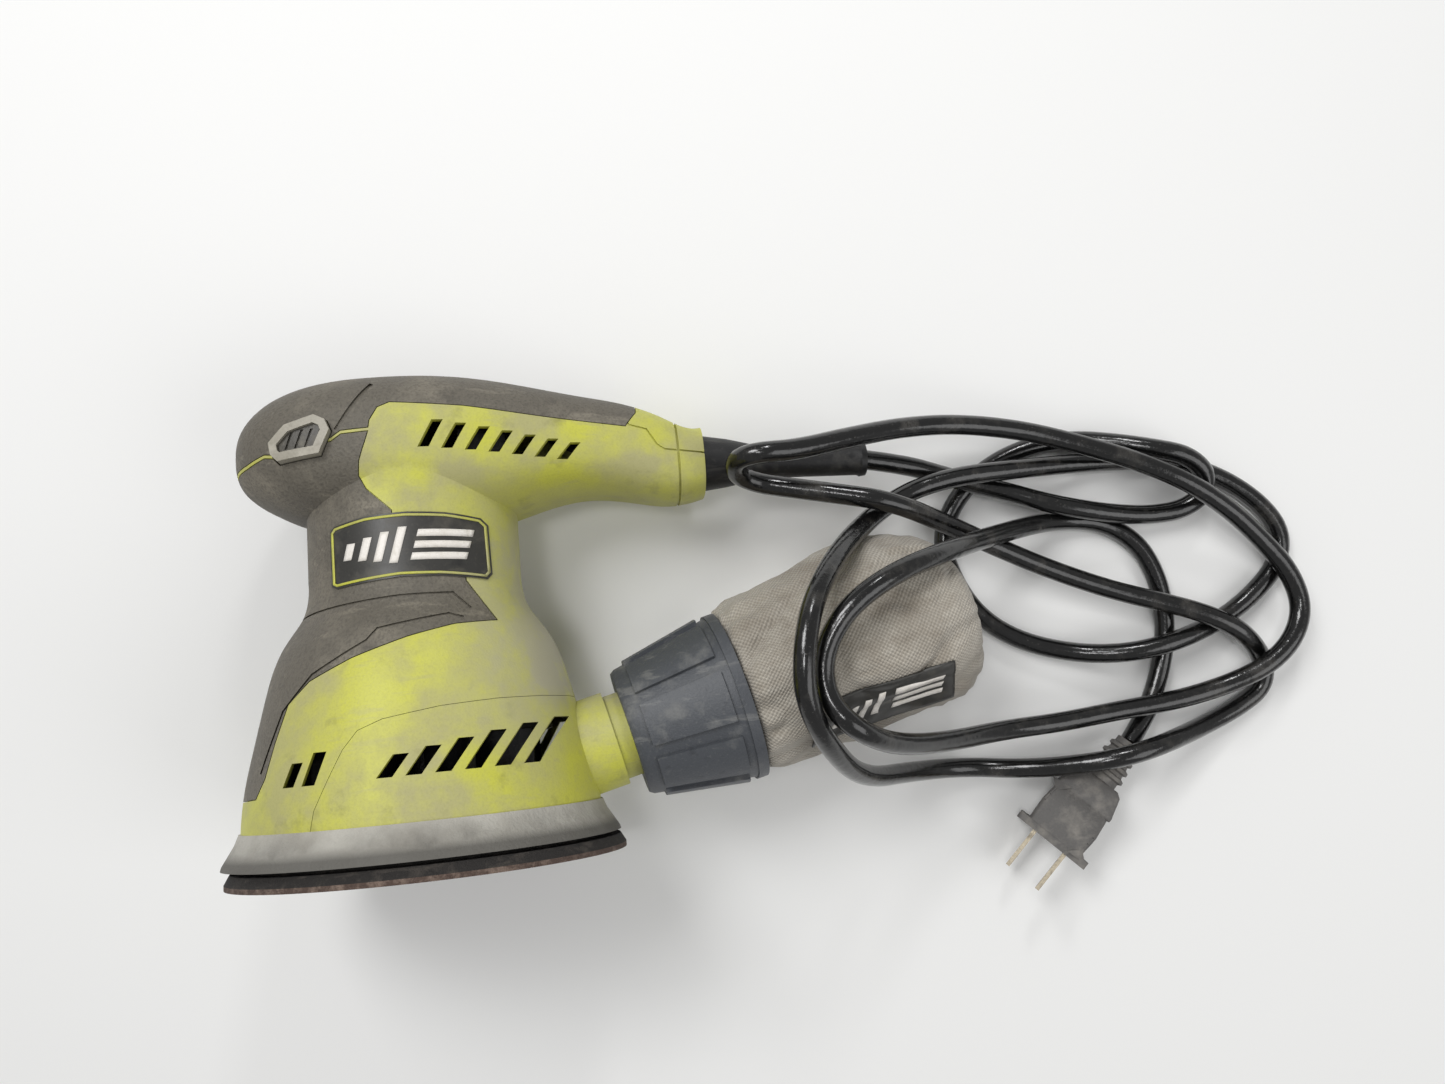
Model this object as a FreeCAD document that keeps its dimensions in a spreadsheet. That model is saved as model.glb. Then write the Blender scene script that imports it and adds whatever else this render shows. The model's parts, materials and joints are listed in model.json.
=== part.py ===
import FreeCAD, Part
import math
import os
import re
import Sketcher

# Random-orbit palm sander, modelled upright: x to the rear, z up the motor axis from the pad's face,
# y to the tool's right side. Every finished piece then gets one placement that lays the tool on its
# right side: +Z up off the bench, +X to the tool's rear, +Y to its head.

os.makedirs("parts", exist_ok=True)
doc = FreeCAD.newDocument("Sander")
sheet = doc.addObject("Spreadsheet::Sheet", "Dims")

SIZES = {
    # lying pose: pitch brings the head down, roll brings the handle and the bag down
    "liePitch": 10.5, "lieRoll": 7.0, "lieX": -62.94, "lieY": -73.3, "lieZ": 61.05,
    # pad
    "padRadius": 61.2, "hookThick": 1.5, "padLip": 4.3, "padStepRadius": 54.8, "padTop": 9.0,
    "padCentreHole": 10.0, "dustCircle": 32.5, "dustHole": 4.5, "orbit": 1.2,
    "plateRadius": 51.0, "plateTop": 11.8, "hubRadius": 17.5, "padBearTop": 20.0, "padBearBase": 12.2,
    "padScrewCircle": 42.0, "padScrewRadius": 1.8, "padScrewHead": 3.6,
    # skirt and body
    "skirtBase": 5.6, "skirtTop": 15.6, "skirtLow": 61.0, "skirtHigh": 55.8, "skirtWall": 2.2,
    "wall": 2.5, "neckRadius": 34.0, "gripDepth": 1.2, "gripGap": 0.3,
    # motor line
    "shaftRadius": 4.0, "seatRadius": 6.0, "shaftBase": 20.3, "shaftTop": 129.0,
    "lowBearBase": 44.0, "lowBearTop": 52.0, "lowBearRadius": 14.0,
    "topBearBase": 121.5, "topBearTop": 128.5, "topBearRadius": 11.0,
    "coreBase": 66.0, "coreTop": 98.0, "statorRadius": 28.5, "statorBore": 17.5, "armatureRadius": 16.6,
    "coilBase": 58.0, "coilTop": 106.0, "commBase": 107.5, "commTop": 118.0, "commRadius": 11.0,
    "fanRadius": 41.0, "fanBase": 28.0, "fanTop": 41.0, "fanHub": 9.0, "fanBlades": 9,
    "weightTop": 26.5, "weightRadius": 23.0,
    # dust port and bag, measured along the port's axis from the mouth of the collar
    "portX": 66.1, "portZ": 35.5, "portTilt": 14.2, "portRadius": 14.0, "portWall": 2.2, "portEnd": 16.0,
    "collarMouth": 20.3, "collarRear": 27.6, "collarLength": 35.0, "lipRadius": 28.4, "lipLength": 3.5,
    "bagStart": 38.7,
    # handle end, strain relief, cord
    "handleEnd": 98.1, "reliefZ": 125.3, "reliefDrop": 2.3, "reliefBig": 9.6, "reliefSlim": 5.6,
    "reliefEnd": 58.0, "cordRadius": 3.5,
    # plug, along its own axis from the cord's end
    "plugHeading": -134.0, "plugRoll": 21.0, "plugSleeve": 17.0, "plugBase": 46.0, "plugThick": 13.0,
    "plugFlange": 28.8, "plugShoulder": 22.0,
    "bladeLength": 16.0, "bladeWide": 6.3, "bladeThick": 1.5, "bladeSpacing": 12.7,
    # switch button
    "buttonProud": 3.0, "buttonTravel": 4.0, "buttonGap": 0.4, "buttonRim": 2.4,
    # screws
    "bossRadius": 4.0, "screwRadius": 1.6, "screwHead": 3.2,
}
for row, (alias, value) in enumerate(SIZES.items(), 1):
    sheet.set("A%d" % row, alias)
    sheet.set("B%d" % row, str(value))
    sheet.setAlias("B%d" % row, alias)
doc.recompute()


def bound(text):
    """An expression with every alias of the sheet written as Dims.alias."""
    return re.sub(r"[A-Za-z]\w*", lambda m: "Dims." + m.group(0) if m.group(0) in SIZES else m.group(0),
                  str(text))


def size(text):
    """The value of such an expression."""
    found = sheet.evalExpression(bound(text))
    return float(getattr(found, "Value", found))


V = FreeCAD.Vector
AXIS_X, AXIS_Y, AXIS_Z = V(1, 0, 0), V(0, 1, 0), V(0, 0, 1)
lying = FreeCAD.Placement(
    V(size("lieX"), size("lieY"), size("lieZ")),
    FreeCAD.Rotation(AXIS_X, -size("liePitch")) * FreeCAD.Rotation(AXIS_Y, size("lieRoll"))
    * FreeCAD.Rotation(AXIS_X, -90))
portLine = FreeCAD.Placement(V(size("portX"), 0, size("portZ")), FreeCAD.Rotation(AXIS_Y, 90 - size("portTilt")))
reliefLine = FreeCAD.Placement(V(size("handleEnd"), 0, size("reliefZ")),
                               FreeCAD.Rotation(AXIS_Y, 90 + size("reliefDrop")))
nodes = []


def node(label, thing, where=None):
    """Names a finished sub-part and lays it down with the tool."""
    thing.Label = label
    thing.Placement = lying if where is None else where
    nodes.append(thing)
    return thing


def shaped(label, shape, where=None):
    """A sub-part whose shape comes from Part's own functions."""
    thing = doc.addObject("Part::Feature", label)
    thing.Shape = shape
    return node(label, thing, where)


# ---- parametric helpers: primitives, rings, turned bodies -------------------------------------------

def cylinder(name, radius, base, top, atX="0", atY="0"):
    thing = doc.addObject("Part::Cylinder", name)
    thing.setExpression("Radius", bound(radius))
    thing.setExpression("Height", bound("(%s) - (%s)" % (top, base)))
    thing.setExpression("Placement.Base.x", bound(atX))
    thing.setExpression("Placement.Base.y", bound(atY))
    thing.setExpression("Placement.Base.z", bound(base))
    return thing


def block(name, low, high):
    thing = doc.addObject("Part::Box", name)
    for side, axis, a, b in zip(("Length", "Width", "Height"), "xyz", low, high):
        thing.setExpression(side, bound("(%s) - (%s)" % (b, a)))
        thing.setExpression("Placement.Base." + axis, bound(a))
    return thing


def less(name, base, tool):
    thing = doc.addObject("Part::Cut", name)
    thing.Base = base
    thing.Tool = tool
    return thing


def joined(name, things):
    thing = doc.addObject("Part::MultiFuse", name)
    thing.Shapes = things
    return thing


def ring(name, inner, outer, base, top, atX="0"):
    return less(name, cylinder(name + "Outside", outer, base, top, atX),
                cylinder(name + "Bore", inner, base, top, atX))


def originPlane(body, role):
    return [f for f in body.Origin.OriginFeatures if f.Role == role][0]


def profile(body, name, points, role="XZ_Plane"):
    """A closed outline whose corners are held at sheet expressions."""
    sketch = body.newObject("Sketcher::SketchObject", name)
    sketch.AttachmentSupport = [(originPlane(body, role), "")]
    sketch.MapMode = "FlatFace"
    spots = [V(size(a), size(b), 0) for a, b in points]
    sketch.addGeometry([Part.LineSegment(spots[i - 1], spots[i]) for i in range(len(spots))])
    for i in range(len(points)):
        sketch.addConstraint(Sketcher.Constraint("Coincident", i, 2, (i + 1) % len(points), 1))
    for i, (a, b) in enumerate(points):
        for kind, text, value in (("DistanceX", a, spots[i].x), ("DistanceY", b, spots[i].y)):
            index = sketch.addConstraint(Sketcher.Constraint(kind, -1, 1, i, 2, value))
            sketch.setExpression("Constraints[%d]" % index, bound(text))
    return sketch


def turned(label, points, where=None):
    """A body revolved about its z axis from (radius, height) corners."""
    body = doc.addObject("PartDesign::Body", label)
    sketch = profile(body, label + "Profile", points)
    turn = body.newObject("PartDesign::Revolution", label + "Turn")
    turn.Profile = sketch
    turn.ReferenceAxis = (sketch, ["V_Axis"])
    turn.Angle = 360
    return node(label, body, where)


# ---- the body's outer form, at any depth under its surface ------------------------------------------

BASE_LINE = ((55.2, 15.6), (54.7, 22.0), (53.5, 30.0), (51.7, 38.0), (49.8, 46.0), (47.6, 55.0), (45.2, 63.5),
             (42.4, 70.0), (38.8, 75.6), (35.8, 80.4), (34.4, 85.0))
# head and handle: place along x, top, underside, half width
HEAD_LINE = (
    (-54.9, 136.5, 128.5, 5.5), (-53.4, 141.0, 124.4, 13.0), (-50.2, 145.4, 120.8, 20.4),
    (-44.8, 150.0, 117.4, 26.6), (-36.6, 154.2, 113.4, 31.8), (-23.4, 157.4, 110.5, 35.5),
    (-7.9, 158.4, 109.0, 36.7), (10.1, 158.2, 108.0, 35.4), (26.1, 156.4, 109.4, 32.3),
    (42.1, 153.2, 113.6, 27.4), (58.1, 149.6, 116.2, 23.2), (74.1, 145.9, 114.0, 20.0),
    (86.1, 140.8, 111.8, 17.3), (98.1, 137.2, 113.4, 13.6))
ROUNDNESS = 2.5
SECTION_POINTS = 24
NECK_TOP = 122.0
FORM_FLOOR = 15.6


def ovalWire(x, top, bottom, halfWidth):
    """A closed rounded section across the handle."""
    middle = (top + bottom) / 2
    points = []
    for i in range(SECTION_POINTS):
        turn = 2 * math.pi * i / SECTION_POINTS
        across = math.copysign(abs(math.cos(turn)) ** (2 / ROUNDNESS), math.cos(turn))
        up = math.copysign(abs(math.sin(turn)) ** (2 / ROUNDNESS), math.sin(turn))
        points.append(V(x, halfWidth * across, middle + (top - bottom) / 2 * up))
    curve = Part.BSplineCurve()
    curve.interpolate(points, PeriodicFlag=True)
    return Part.Wire(curve.toShape())


def bodyForm(inset):
    """Base, neck, head and handle as one solid, moved inwards by inset."""
    floor = FORM_FLOOR - (3 if inset > 0 else 0)
    line = [V(r - inset, 0, z) for r, z in BASE_LINE]
    line[0].z = floor
    neck = size("neckRadius") - inset
    curve = Part.BSplineCurve()
    curve.interpolate(line + [V(neck, 0, 92)])
    edges = [Part.makeLine(V(0, 0, floor), line[0]), curve.toShape(),
             Part.makeLine(V(neck, 0, 92), V(neck, 0, NECK_TOP)),
             Part.makeLine(V(neck, 0, NECK_TOP), V(0, 0, NECK_TOP)),
             Part.makeLine(V(0, 0, NECK_TOP), V(0, 0, floor))]
    lower = Part.Face(Part.Wire(edges)).revolve(V(0, 0, 0), AXIS_Z, 360)
    sections = []
    for x, top, bottom, halfWidth in HEAD_LINE:
        forward = min(1.0, max(0.0, (-x - 15) / 35))
        rear = max(0.0, (x - 78) / 20) if inset > 0 else 0.0
        sections.append(ovalWire(x + inset * forward - inset * 1.6 * rear, top - inset, bottom + inset,
                                 halfWidth - inset))
    upper = Part.makeLoft(sections, True, False)
    return lower.fuse(upper)


def prism(points, low=-90.0, high=90.0):
    """A side-view outline (x, z) drawn out across the tool."""
    outline = Part.makePolygon([V(x, low, z) for x, z in points] + [V(points[0][0], low, points[0][1])])
    return Part.Face(outline).extrude(V(0, high - low, 0))


def inward(points, gap):
    """The same outline, drawn in by gap."""
    outline = Part.makePolygon([V(x, z, 0) for x, z in points] + [V(points[0][0], points[0][1], 0)])
    smaller = Part.Face(outline).makeOffset2D(-gap, join=2)
    return [(p.Point.x, p.Point.y) for p in smaller.OuterWire.OrderedVertexes]


def strips(points, width, low=-90.0, high=0.0):
    """Thin walls across the tool along an open side-view line, for moulded grooves."""
    walls = []
    for (x1, z1), (x2, z2) in zip(points, points[1:]):
        length = math.hypot(x2 - x1, z2 - z1)
        wall = Part.makeBox(length + width, high - low, width, V(-width / 2, 0, -width / 2))
        wall.Placement = FreeCAD.Placement(V(x1, low, z1),
                                           FreeCAD.Rotation(AXIS_Y, -math.degrees(math.atan2(z2 - z1, x2 - x1))))
        walls.append(wall)
    return walls[0].multiFuse(walls[1:])


def slanted(x1, z1, x2, z2, width):
    """A leaning slot (x1, z1) to (x2, z2) of the given width along x."""
    return prism([(x1, z1), (x1 + width, z1), (x2 + width, z2), (x2, z2)], -90.0, 0.0)


def handed(left):
    return left.mirror(V(0, 0, 0), AXIS_Y)


outerForm = bodyForm(0)
wallForm = bodyForm(size("wall"))
gripForm = bodyForm(size("gripDepth"))
lineForm = bodyForm(0.7)
pegForm = bodyForm(1.8)
leftHalf = Part.makeBox(400, 200, 400, V(-200, -200, -100))
shell = outerForm.cut(wallForm)
leftShell = shell.common(leftHalf)
gripLayer = outerForm.cut(gripForm).common(leftHalf)
lineLayer = outerForm.cut(lineForm).common(leftHalf)

# side-view outlines (x, z)
BUTTON = [(-37.1, 127.6), (-37.7, 131.6), (-32.3, 136.8), (-22.9, 139.2), (-19.3, 137.2), (-17.9, 133.6),
          (-21.5, 126.2), (-34.9, 125.2)]
SEAM_FRONT = [(-71.9, 126.2), (-46.9, 127.4), (-39.9, 128.8), (-36.3, 128.0)]
SEAM_REAR = [(-18.5, 131.2), (-15.5, 133.2), (-7.1, 133.6)]
WINDOW_TOP = [(-6.7, 136.4), (-4.3, 140.6), (-0.7, 142.2), (21.1, 140.6), (45.1, 137.6), (72.1, 134.4)]
WINDOW_FRONT = [(-8.1, 130.2), (-10.5, 124.0), (-11.1, 120.0), (-9.1, 116.0), (-1.5, 108.4)]
CHUTE = [(-25.5, 10.0), (-23.3, 21.0), (-19.3, 29.0), (-15.1, 37.0), (-10.9, 42.0), (-3.9, 44.6), (12.1, 47.0),
         (28.1, 48.2), (54.1, 48.8), (68.1, 48.8), (68.1, 10.0)]
LABEL = [(-21.5, 87.0), (-21.7, 104.0), (-20.3, 105.4), (-9.9, 107.0), (2.1, 107.4), (14.1, 107.0),
         (24.1, 105.8), (26.1, 103.8), (26.5, 88.2), (25.1, 86.4), (12.1, 87.2), (0.1, 87.4), (-19.7, 86.0)]
LOWER_EDGE = [(19.1, 85.8), (28.1, 72.4), (16.1, 71.2), (3.1, 68.0), (-12.9, 63.0), (-25.9, 57.6),
              (-32.9, 51.6), (-36.9, 41.0), (-39.9, 31.0), (-43.3, 25.4), (-71.9, 24.0)]
HALF_SEAM = 0.4

upperGrip = ([(x, z + HALF_SEAM) for x, z in SEAM_FRONT + SEAM_REAR] + WINDOW_TOP
             + [(76.1, 140.0), (78.1, 175.0), (-70.0, 175.0)])
lowerGrip = ([(x, z - HALF_SEAM) for x, z in SEAM_FRONT + SEAM_REAR] + WINDOW_FRONT
             + [(-1.5, 96.0), (19.1, 96.0)] + LOWER_EDGE)
buttonHole = prism(BUTTON)
labelCut = prism(LABEL, -90.0, 0.0)
upperSpace = prism(upperGrip, -90.0, 0.0)
lowerSpace = prism(lowerGrip, -90.0, 0.0)
chuteSpace = prism(CHUTE)

# ---- clamshell housings --------------------------------------------------------------------------------

BOSSES = ((-44.0, 139.5), (28.1, 147.6), (60.1, 141.0), (48.1, 122.6), (-41.0, 58.0), (41.0, 58.0))
HANDLE_SLOTS = 7
HANDLE_SLOT_PITCH = 7.0
HANDLE_SLOT_WIDTH = 3.4


def handleSlots():
    slots = []
    for i in range(HANDLE_SLOTS):
        shift = i * HANDLE_SLOT_PITCH
        drop = i * 1.15
        slots.append(slanted(7.1 + shift, 127.4 - drop * 0.5, 11.7 + shift, 136.0 - drop, HANDLE_SLOT_WIDTH))
    return slots[0].multiFuse(slots[1:])


FRONT_SLOTS = (slanted(-33.3, 28.0, -30.5, 34.6, 3.6), slanted(-27.1, 28.0, -23.7, 37.0, 4.0))
END_SEAM = [(75.1, 141.5), (72.3, 136.2), (73.5, 135.0), (78.9, 133.6), (82.1, 128.2), (84.5, 126.6), (99.1, 125.6)]
HEAD_GROOVE = [(-7.1, 149.5), (-16.5, 134.6)]
PATCH_LINES = ([(-35.9, 79.4), (0.1, 81.6), (15.1, 81.8), (20.1, 76.8)],
               [(18.1, 73.6), (14.1, 74.8), (-5.9, 71.4), (-8.9, 68.0), (-25.3, 59.6), (-34.9, 50.0),
                (-39.3, 39.6), (-41.9, 33.0)])
bossPegs = []
for x, z in BOSSES:
    bossPegs.append(Part.makeCylinder(size("bossRadius"), 90, V(x, -90, z), AXIS_Y))
pegs = bossPegs[0].multiFuse(bossPegs[1:]).common(pegForm)

endCollar = lineLayer.common(Part.makeBox(0.8, 200, 200, V(88.7, -100, 50)))
leftBody = leftShell.cut(chuteSpace).fuse(pegs)
upperPanel = upperSpace.common(gripLayer)
lowerPanel = lowerSpace.common(gripLayer)
leftBody = leftBody.cut(upperPanel).cut(lowerPanel)
leftBody = leftBody.cut(buttonHole)
reliefHole = Part.makeCylinder(size("reliefBig") + 0.1, 40, V(0, 0, -20), AXIS_Z)
reliefHole.Placement = reliefLine
leftBody = leftBody.cut(reliefHole)
plainHalf = leftBody.cut(handleSlots()).cut(FRONT_SLOTS[0]).cut(FRONT_SLOTS[1])
plainHalf = plainHalf.cut(strips(END_SEAM, 0.6).common(lineLayer)).cut(endCollar)

pilots = [Part.makeCylinder(size("screwRadius"), 12, V(x, -12, z), AXIS_Y) for x, z in BOSSES]
clears = [Part.makeCylinder(size("screwRadius"), 100, V(x, 0, z), AXIS_Y) for x, z in BOSSES]
sinks = [Part.makeCylinder(size("screwHead") + 0.2, 100, V(x, 6, z), AXIS_Y) for x, z in BOSSES]
shaped("housing_left", plainHalf.cut(pilots[0].multiFuse(pilots[1:])))
shaped("housing_right", handed(plainHalf).cut(clears[0].multiFuse(clears[1:] + sinks)))
screws = []
for x, z in BOSSES:
    shank = Part.makeCylinder(size("screwRadius"), 16, V(x, -10, z), AXIS_Y)
    head = Part.makeCylinder(size("screwHead"), 2.4, V(x, 6, z), AXIS_Y)
    screws.append(shank.fuse(head.cut(Part.makeCylinder(1.2, 1.4, V(x, 7.0, z), AXIS_Y))))
shaped("housing_screws", Part.makeCompound(screws))

# ---- rubber grips, with the pressed lines of the neck patch ----------------------------------------------

groove = strips(HEAD_GROOVE, 1.4).common(lineLayer)
upperRubber = prism(inward(upperGrip, size("gripGap")), -90.0, 0.0).common(gripLayer).cut(groove).cut(buttonHole)
lowerRubber = prism(inward(lowerGrip, size("gripGap")), -90.0, 0.0).common(gripLayer).cut(buttonHole)
for line in PATCH_LINES:
    lowerRubber = lowerRubber.cut(strips(line, 0.7).common(lineLayer))
labelSkin = bodyForm(-0.5)
labelPlate = labelCut.common(labelSkin.cut(outerForm))
for side, hand in (("left", lambda shape: shape), ("right", handed)):
    shaped("grip_upper_" + side, hand(upperRubber))
    shaped("grip_lower_" + side, hand(lowerRubber))
    shaped("label_" + side, hand(labelPlate))

# ---- dust chute: lower rear shroud with its vents and port -------------------------------------------------

CHUTE_SLOTS = 6
CHUTE_SLOT_PITCH = 7.9


def chuteSlots():
    slots = []
    for i in range(CHUTE_SLOTS):
        foot = -5.5 + i * CHUTE_SLOT_PITCH
        lean = 4.6 + 0.85 * i
        slots.append(slanted(foot, 28.2 + 0.1 * i, foot + lean, 34.4 + 1.5 * i, 4.4))
    return slots[0].multiFuse(slots[1:])


def alongPort(radius, start, end):
    rod = Part.makeCylinder(radius, end - start, V(0, 0, start), AXIS_Z)
    rod.Placement = portLine
    return rod


slotTool = chuteSlots()
chuteShell = shell.common(prism(inward(CHUTE, 0.15)))
chuteShell = chuteShell.cut(slotTool).cut(handed(slotTool))
portOuter = alongPort(size("portRadius"), -46, size("portEnd")).cut(wallForm)
portRoot = alongPort(size("portRadius") + 1.6, -46, -5).cut(wallForm)
portBore = alongPort(size("portRadius") - size("portWall"), -46, size("portEnd"))
aboveSkirt = Part.makeBox(400, 400, 200, V(-200, -200, size("skirtTop")))
chute = chuteShell.fuse(portOuter).fuse(portRoot).cut(portBore).common(aboveSkirt)
shaped("dust_chute", chute)

# ---- rubber skirt -----------------------------------------------------------------------------------------

turned("skirt", [("skirtLow - skirtWall", "skirtBase"), ("skirtLow", "skirtBase"),
                 ("skirtLow - 0.4", "skirtBase + 1.2"), ("skirtHigh + 1.2", "skirtTop - 3"),
                 ("skirtHigh", "skirtTop"), ("skirtHigh - 4", "skirtTop"),
                 ("skirtHigh - 4", "skirtTop - 1.6"), ("skirtHigh - 1.6", "skirtTop - 2.4"),
                 ("skirtLow - skirtWall - 0.4", "skirtBase + 1.2")])

# ---- sanding pad: hook face, foam, backing plate ------------------------------------------------------------

def padLayer(label, points, screwed):
    """A turned layer of the pad with the ring of dust holes, on the orbit's offset."""
    body = doc.addObject("PartDesign::Body", label)
    sketch = profile(body, label + "Profile", points)
    turn = body.newObject("PartDesign::Revolution", label + "Turn")
    turn.Profile = sketch
    turn.ReferenceAxis = (sketch, ["V_Axis"])
    turn.Angle = 360
    rings = [("dustHole", "dustCircle", 8)]
    if screwed:
        rings.append(("padScrewRadius", "padScrewCircle", 6))
    for radius, circle, count in rings:
        spot = body.newObject("Sketcher::SketchObject", label + radius)
        spot.AttachmentSupport = [(originPlane(body, "XY_Plane"), "")]
        spot.MapMode = "FlatFace"
        spot.addGeometry(Part.Circle(V(size(circle), 0, 0), AXIS_Z, size(radius)))
        spot.addConstraint(Sketcher.Constraint("PointOnObject", 0, 3, -1))
        away = spot.addConstraint(Sketcher.Constraint("DistanceX", -1, 1, 0, 3, size(circle)))
        wide = spot.addConstraint(Sketcher.Constraint("Radius", 0, size(radius)))
        spot.setExpression("Constraints[%d]" % away, bound(circle))
        spot.setExpression("Constraints[%d]" % wide, bound(radius))
        doc.recompute()
        hole = body.newObject("PartDesign::Pocket", label + radius + "Cut")
        hole.Profile = spot
        hole.Type = "ThroughAll"
        hole.Midplane = True
        doc.recompute()
        pattern = body.newObject("PartDesign::PolarPattern", label + radius + "Ring")
        pattern.Originals = [hole]
        pattern.Axis = (spot, ["N_Axis"])
        pattern.Angle = 360
        pattern.Occurrences = count
        body.Tip = pattern
        doc.recompute()
    aside = FreeCAD.Placement(V(size("orbit"), 0, 0), FreeCAD.Rotation(AXIS_Z, 22.5))
    return node(label, body, lying * aside)


padLayer("hook_face", [("padCentreHole", "0"), ("padRadius", "0"), ("padRadius", "hookThick"),
                       ("padCentreHole", "hookThick")], False)
padLayer("foam_pad", [("padCentreHole", "hookThick"), ("padRadius", "hookThick"),
                      ("padRadius - 1.6", "padLip"), ("padStepRadius", "padLip"),
                      ("padStepRadius - 2", "padTop"), ("padCentreHole", "padTop")], False)
padLayer("backing_plate", [("padCentreHole", "padTop"), ("plateRadius", "padTop"), ("plateRadius", "plateTop"),
                           ("hubRadius", "plateTop"), ("hubRadius - 1", "padBearTop"), ("13", "padBearTop"),
                           ("13", "padBearBase"), ("padCentreHole", "padBearBase")], True)
padScrews = []
for i in range(6):
    turn = math.radians(22.5 + 60 * i)
    spot = V(size("orbit + padScrewCircle * 1") - size("padScrewCircle") * (1 - math.cos(turn)),
             size("padScrewCircle") * math.sin(turn), size("padTop"))
    shank = Part.makeCylinder(size("padScrewRadius"), size("plateTop - padTop"), spot)
    cap = Part.makeCylinder(size("padScrewHead"), 1.6, V(spot.x, spot.y, size("plateTop")))
    padScrews.append(shank.fuse(cap))
shaped("pad_screws", Part.makeCompound(padScrews))


# ---- ball bearings: outer race, inner race, balls --------------------------------------------------------

def bearing(name, bore, outside, base, top, atX="0"):
    """Two races and eight balls between them, with a running gap."""
    band = "((%s) - (%s)) * 0.3" % (outside, bore)
    node(name + "_inner", ring(name + "Inner", bore, "(%s) + %s" % (bore, band), base, top, atX))
    node(name + "_outer", ring(name + "Outer", "(%s) - %s" % (outside, band), outside, base, top, atX))
    middle = (size(bore) + size(outside)) / 2
    gap = (size(outside) - size(bore)) * 0.4
    balls = []
    for i in range(8):
        turn = 2 * math.pi * i / 8
        spot = V(size(atX) + middle * math.cos(turn), middle * math.sin(turn), (size(base) + size(top)) / 2)
        balls.append(Part.makeSphere(gap / 2 - 0.05, spot))
    shaped(name + "_balls", Part.makeCompound(balls))


bearing("pad_bearing", "5", "13", "padBearBase", "padBearTop", "orbit")
bearing("lower_bearing", "seatRadius", "lowBearRadius", "lowBearBase", "lowBearTop")
bearing("upper_bearing", "shaftRadius", "topBearRadius", "topBearBase", "topBearTop")

# ---- rotor: shaft, counterweight with the offset pin, fan, armature --------------------------------------

turned("motor_shaft", [("0", "shaftBase"), ("shaftRadius", "shaftBase"), ("shaftRadius", "lowBearBase - 0.2"),
                       ("seatRadius", "lowBearBase - 0.2"), ("seatRadius", "lowBearTop + 4"),
                       ("shaftRadius", "lowBearTop + 4"), ("shaftRadius", "shaftTop"), ("0", "shaftTop")])
weightDisc = Part.makeCylinder(size("weightRadius"), 5, V(0, 0, size("weightTop") - 5))
weightDisc = weightDisc.common(Part.makeBox(60, 60, 60, V(-62, -30, 0)))
weightHub = Part.makeCylinder(9, size("weightTop - shaftBase"), V(0, 0, size("shaftBase")))
weightPin = Part.makeCylinder(5, size("shaftBase - padBearBase"), V(size("orbit"), 0, size("padBearBase")))
shaftBore = Part.makeCylinder(size("shaftRadius"), 20, V(0, 0, size("shaftBase")))
boltBore = Part.makeCylinder(2.5, 6, V(size("orbit"), 0, size("padBearBase")))
shaped("counterweight", weightDisc.fuse(weightHub).fuse(weightPin).cut(shaftBore).cut(boltBore))
boltHead = Part.Face(Part.makePolygon([V(size("orbit") + 4.6 * math.cos(math.radians(60 * i)),
                                         4.6 * math.sin(math.radians(60 * i)), 7.2) for i in range(7)]))
boltHead = boltHead.extrude(V(0, 0, 3.6))
boltShank = Part.makeCylinder(2.5, 7.4, V(size("orbit"), 0, 10.8))
shaped("pad_bolt", boltHead.fuse(boltShank))
node("pad_washer", ring("padWasher", "2.5", "7.2", "10.8", "padBearBase", "orbit"))

fanBlades = []
for i in range(int(size("fanBlades"))):
    blade = Part.makeBox(size("fanRadius - 14"), 1.6, size("fanTop - fanBase") - 1.5, V(12, -0.8, size("fanBase")))
    blade.rotate(V(12, 0, 0), AXIS_Z, 28)
    blade.rotate(V(0, 0, 0), AXIS_Z, 360 * i / size("fanBlades"))
    fanBlades.append(blade)
fanDisc = Part.makeCylinder(size("fanRadius"), 1.5, V(0, 0, size("fanTop") - 1.5))
fanHub = Part.makeCylinder(size("fanHub"), size("fanTop - fanBase"), V(0, 0, size("fanBase")))
fanSolid = fanDisc.multiFuse([fanHub] + fanBlades).cut(Part.makeCylinder(size("shaftRadius"), 60, V(0, 0, 10)))
shaped("fan", fanSolid)

SLOT_COUNT = 12
armature = Part.makeCylinder(size("armatureRadius"), size("coreTop - coreBase"), V(0, 0, size("coreBase")))
armature = armature.cut(Part.makeCylinder(size("shaftRadius"), 200))
for i in range(SLOT_COUNT):
    slot = Part.makeBox(5, 1.8, 60, V(size("armatureRadius") - 3.2, -0.9, size("coreBase") - 10))
    slot.rotate(V(0, 0, 0), AXIS_Z, 360 * i / SLOT_COUNT)
    armature = armature.cut(slot)
shaped("armature_core", armature)
coils = []
for low, high, wide, slim in ((size("coilBase"), size("coreBase"), 15.0, 10.0),
                              (size("coreTop"), size("coilTop") - 1, 15.0, 9.0)):
    bottomWide = low == size("coreTop")
    cone = Part.makeCone(wide if bottomWide else slim, slim if bottomWide else wide, high - low, V(0, 0, low))
    coils.append(cone.cut(Part.makeCylinder(size("shaftRadius"), 200)))
shaped("armature_windings", Part.makeCompound(coils))
commutator = Part.makeCylinder(size("commRadius"), size("commTop - commBase"), V(0, 0, size("commBase")))
commutator = commutator.cut(Part.makeCylinder(size("shaftRadius"), 200))
for i in range(SLOT_COUNT * 2):
    slit = Part.makeBox(2, 0.5, 60, V(size("commRadius") - 1, -0.25, size("commBase") + 1.5))
    slit.rotate(V(0, 0, 0), AXIS_Z, 180 * i / SLOT_COUNT)
    commutator = commutator.cut(slit)
shaped("commutator", commutator)

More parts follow.
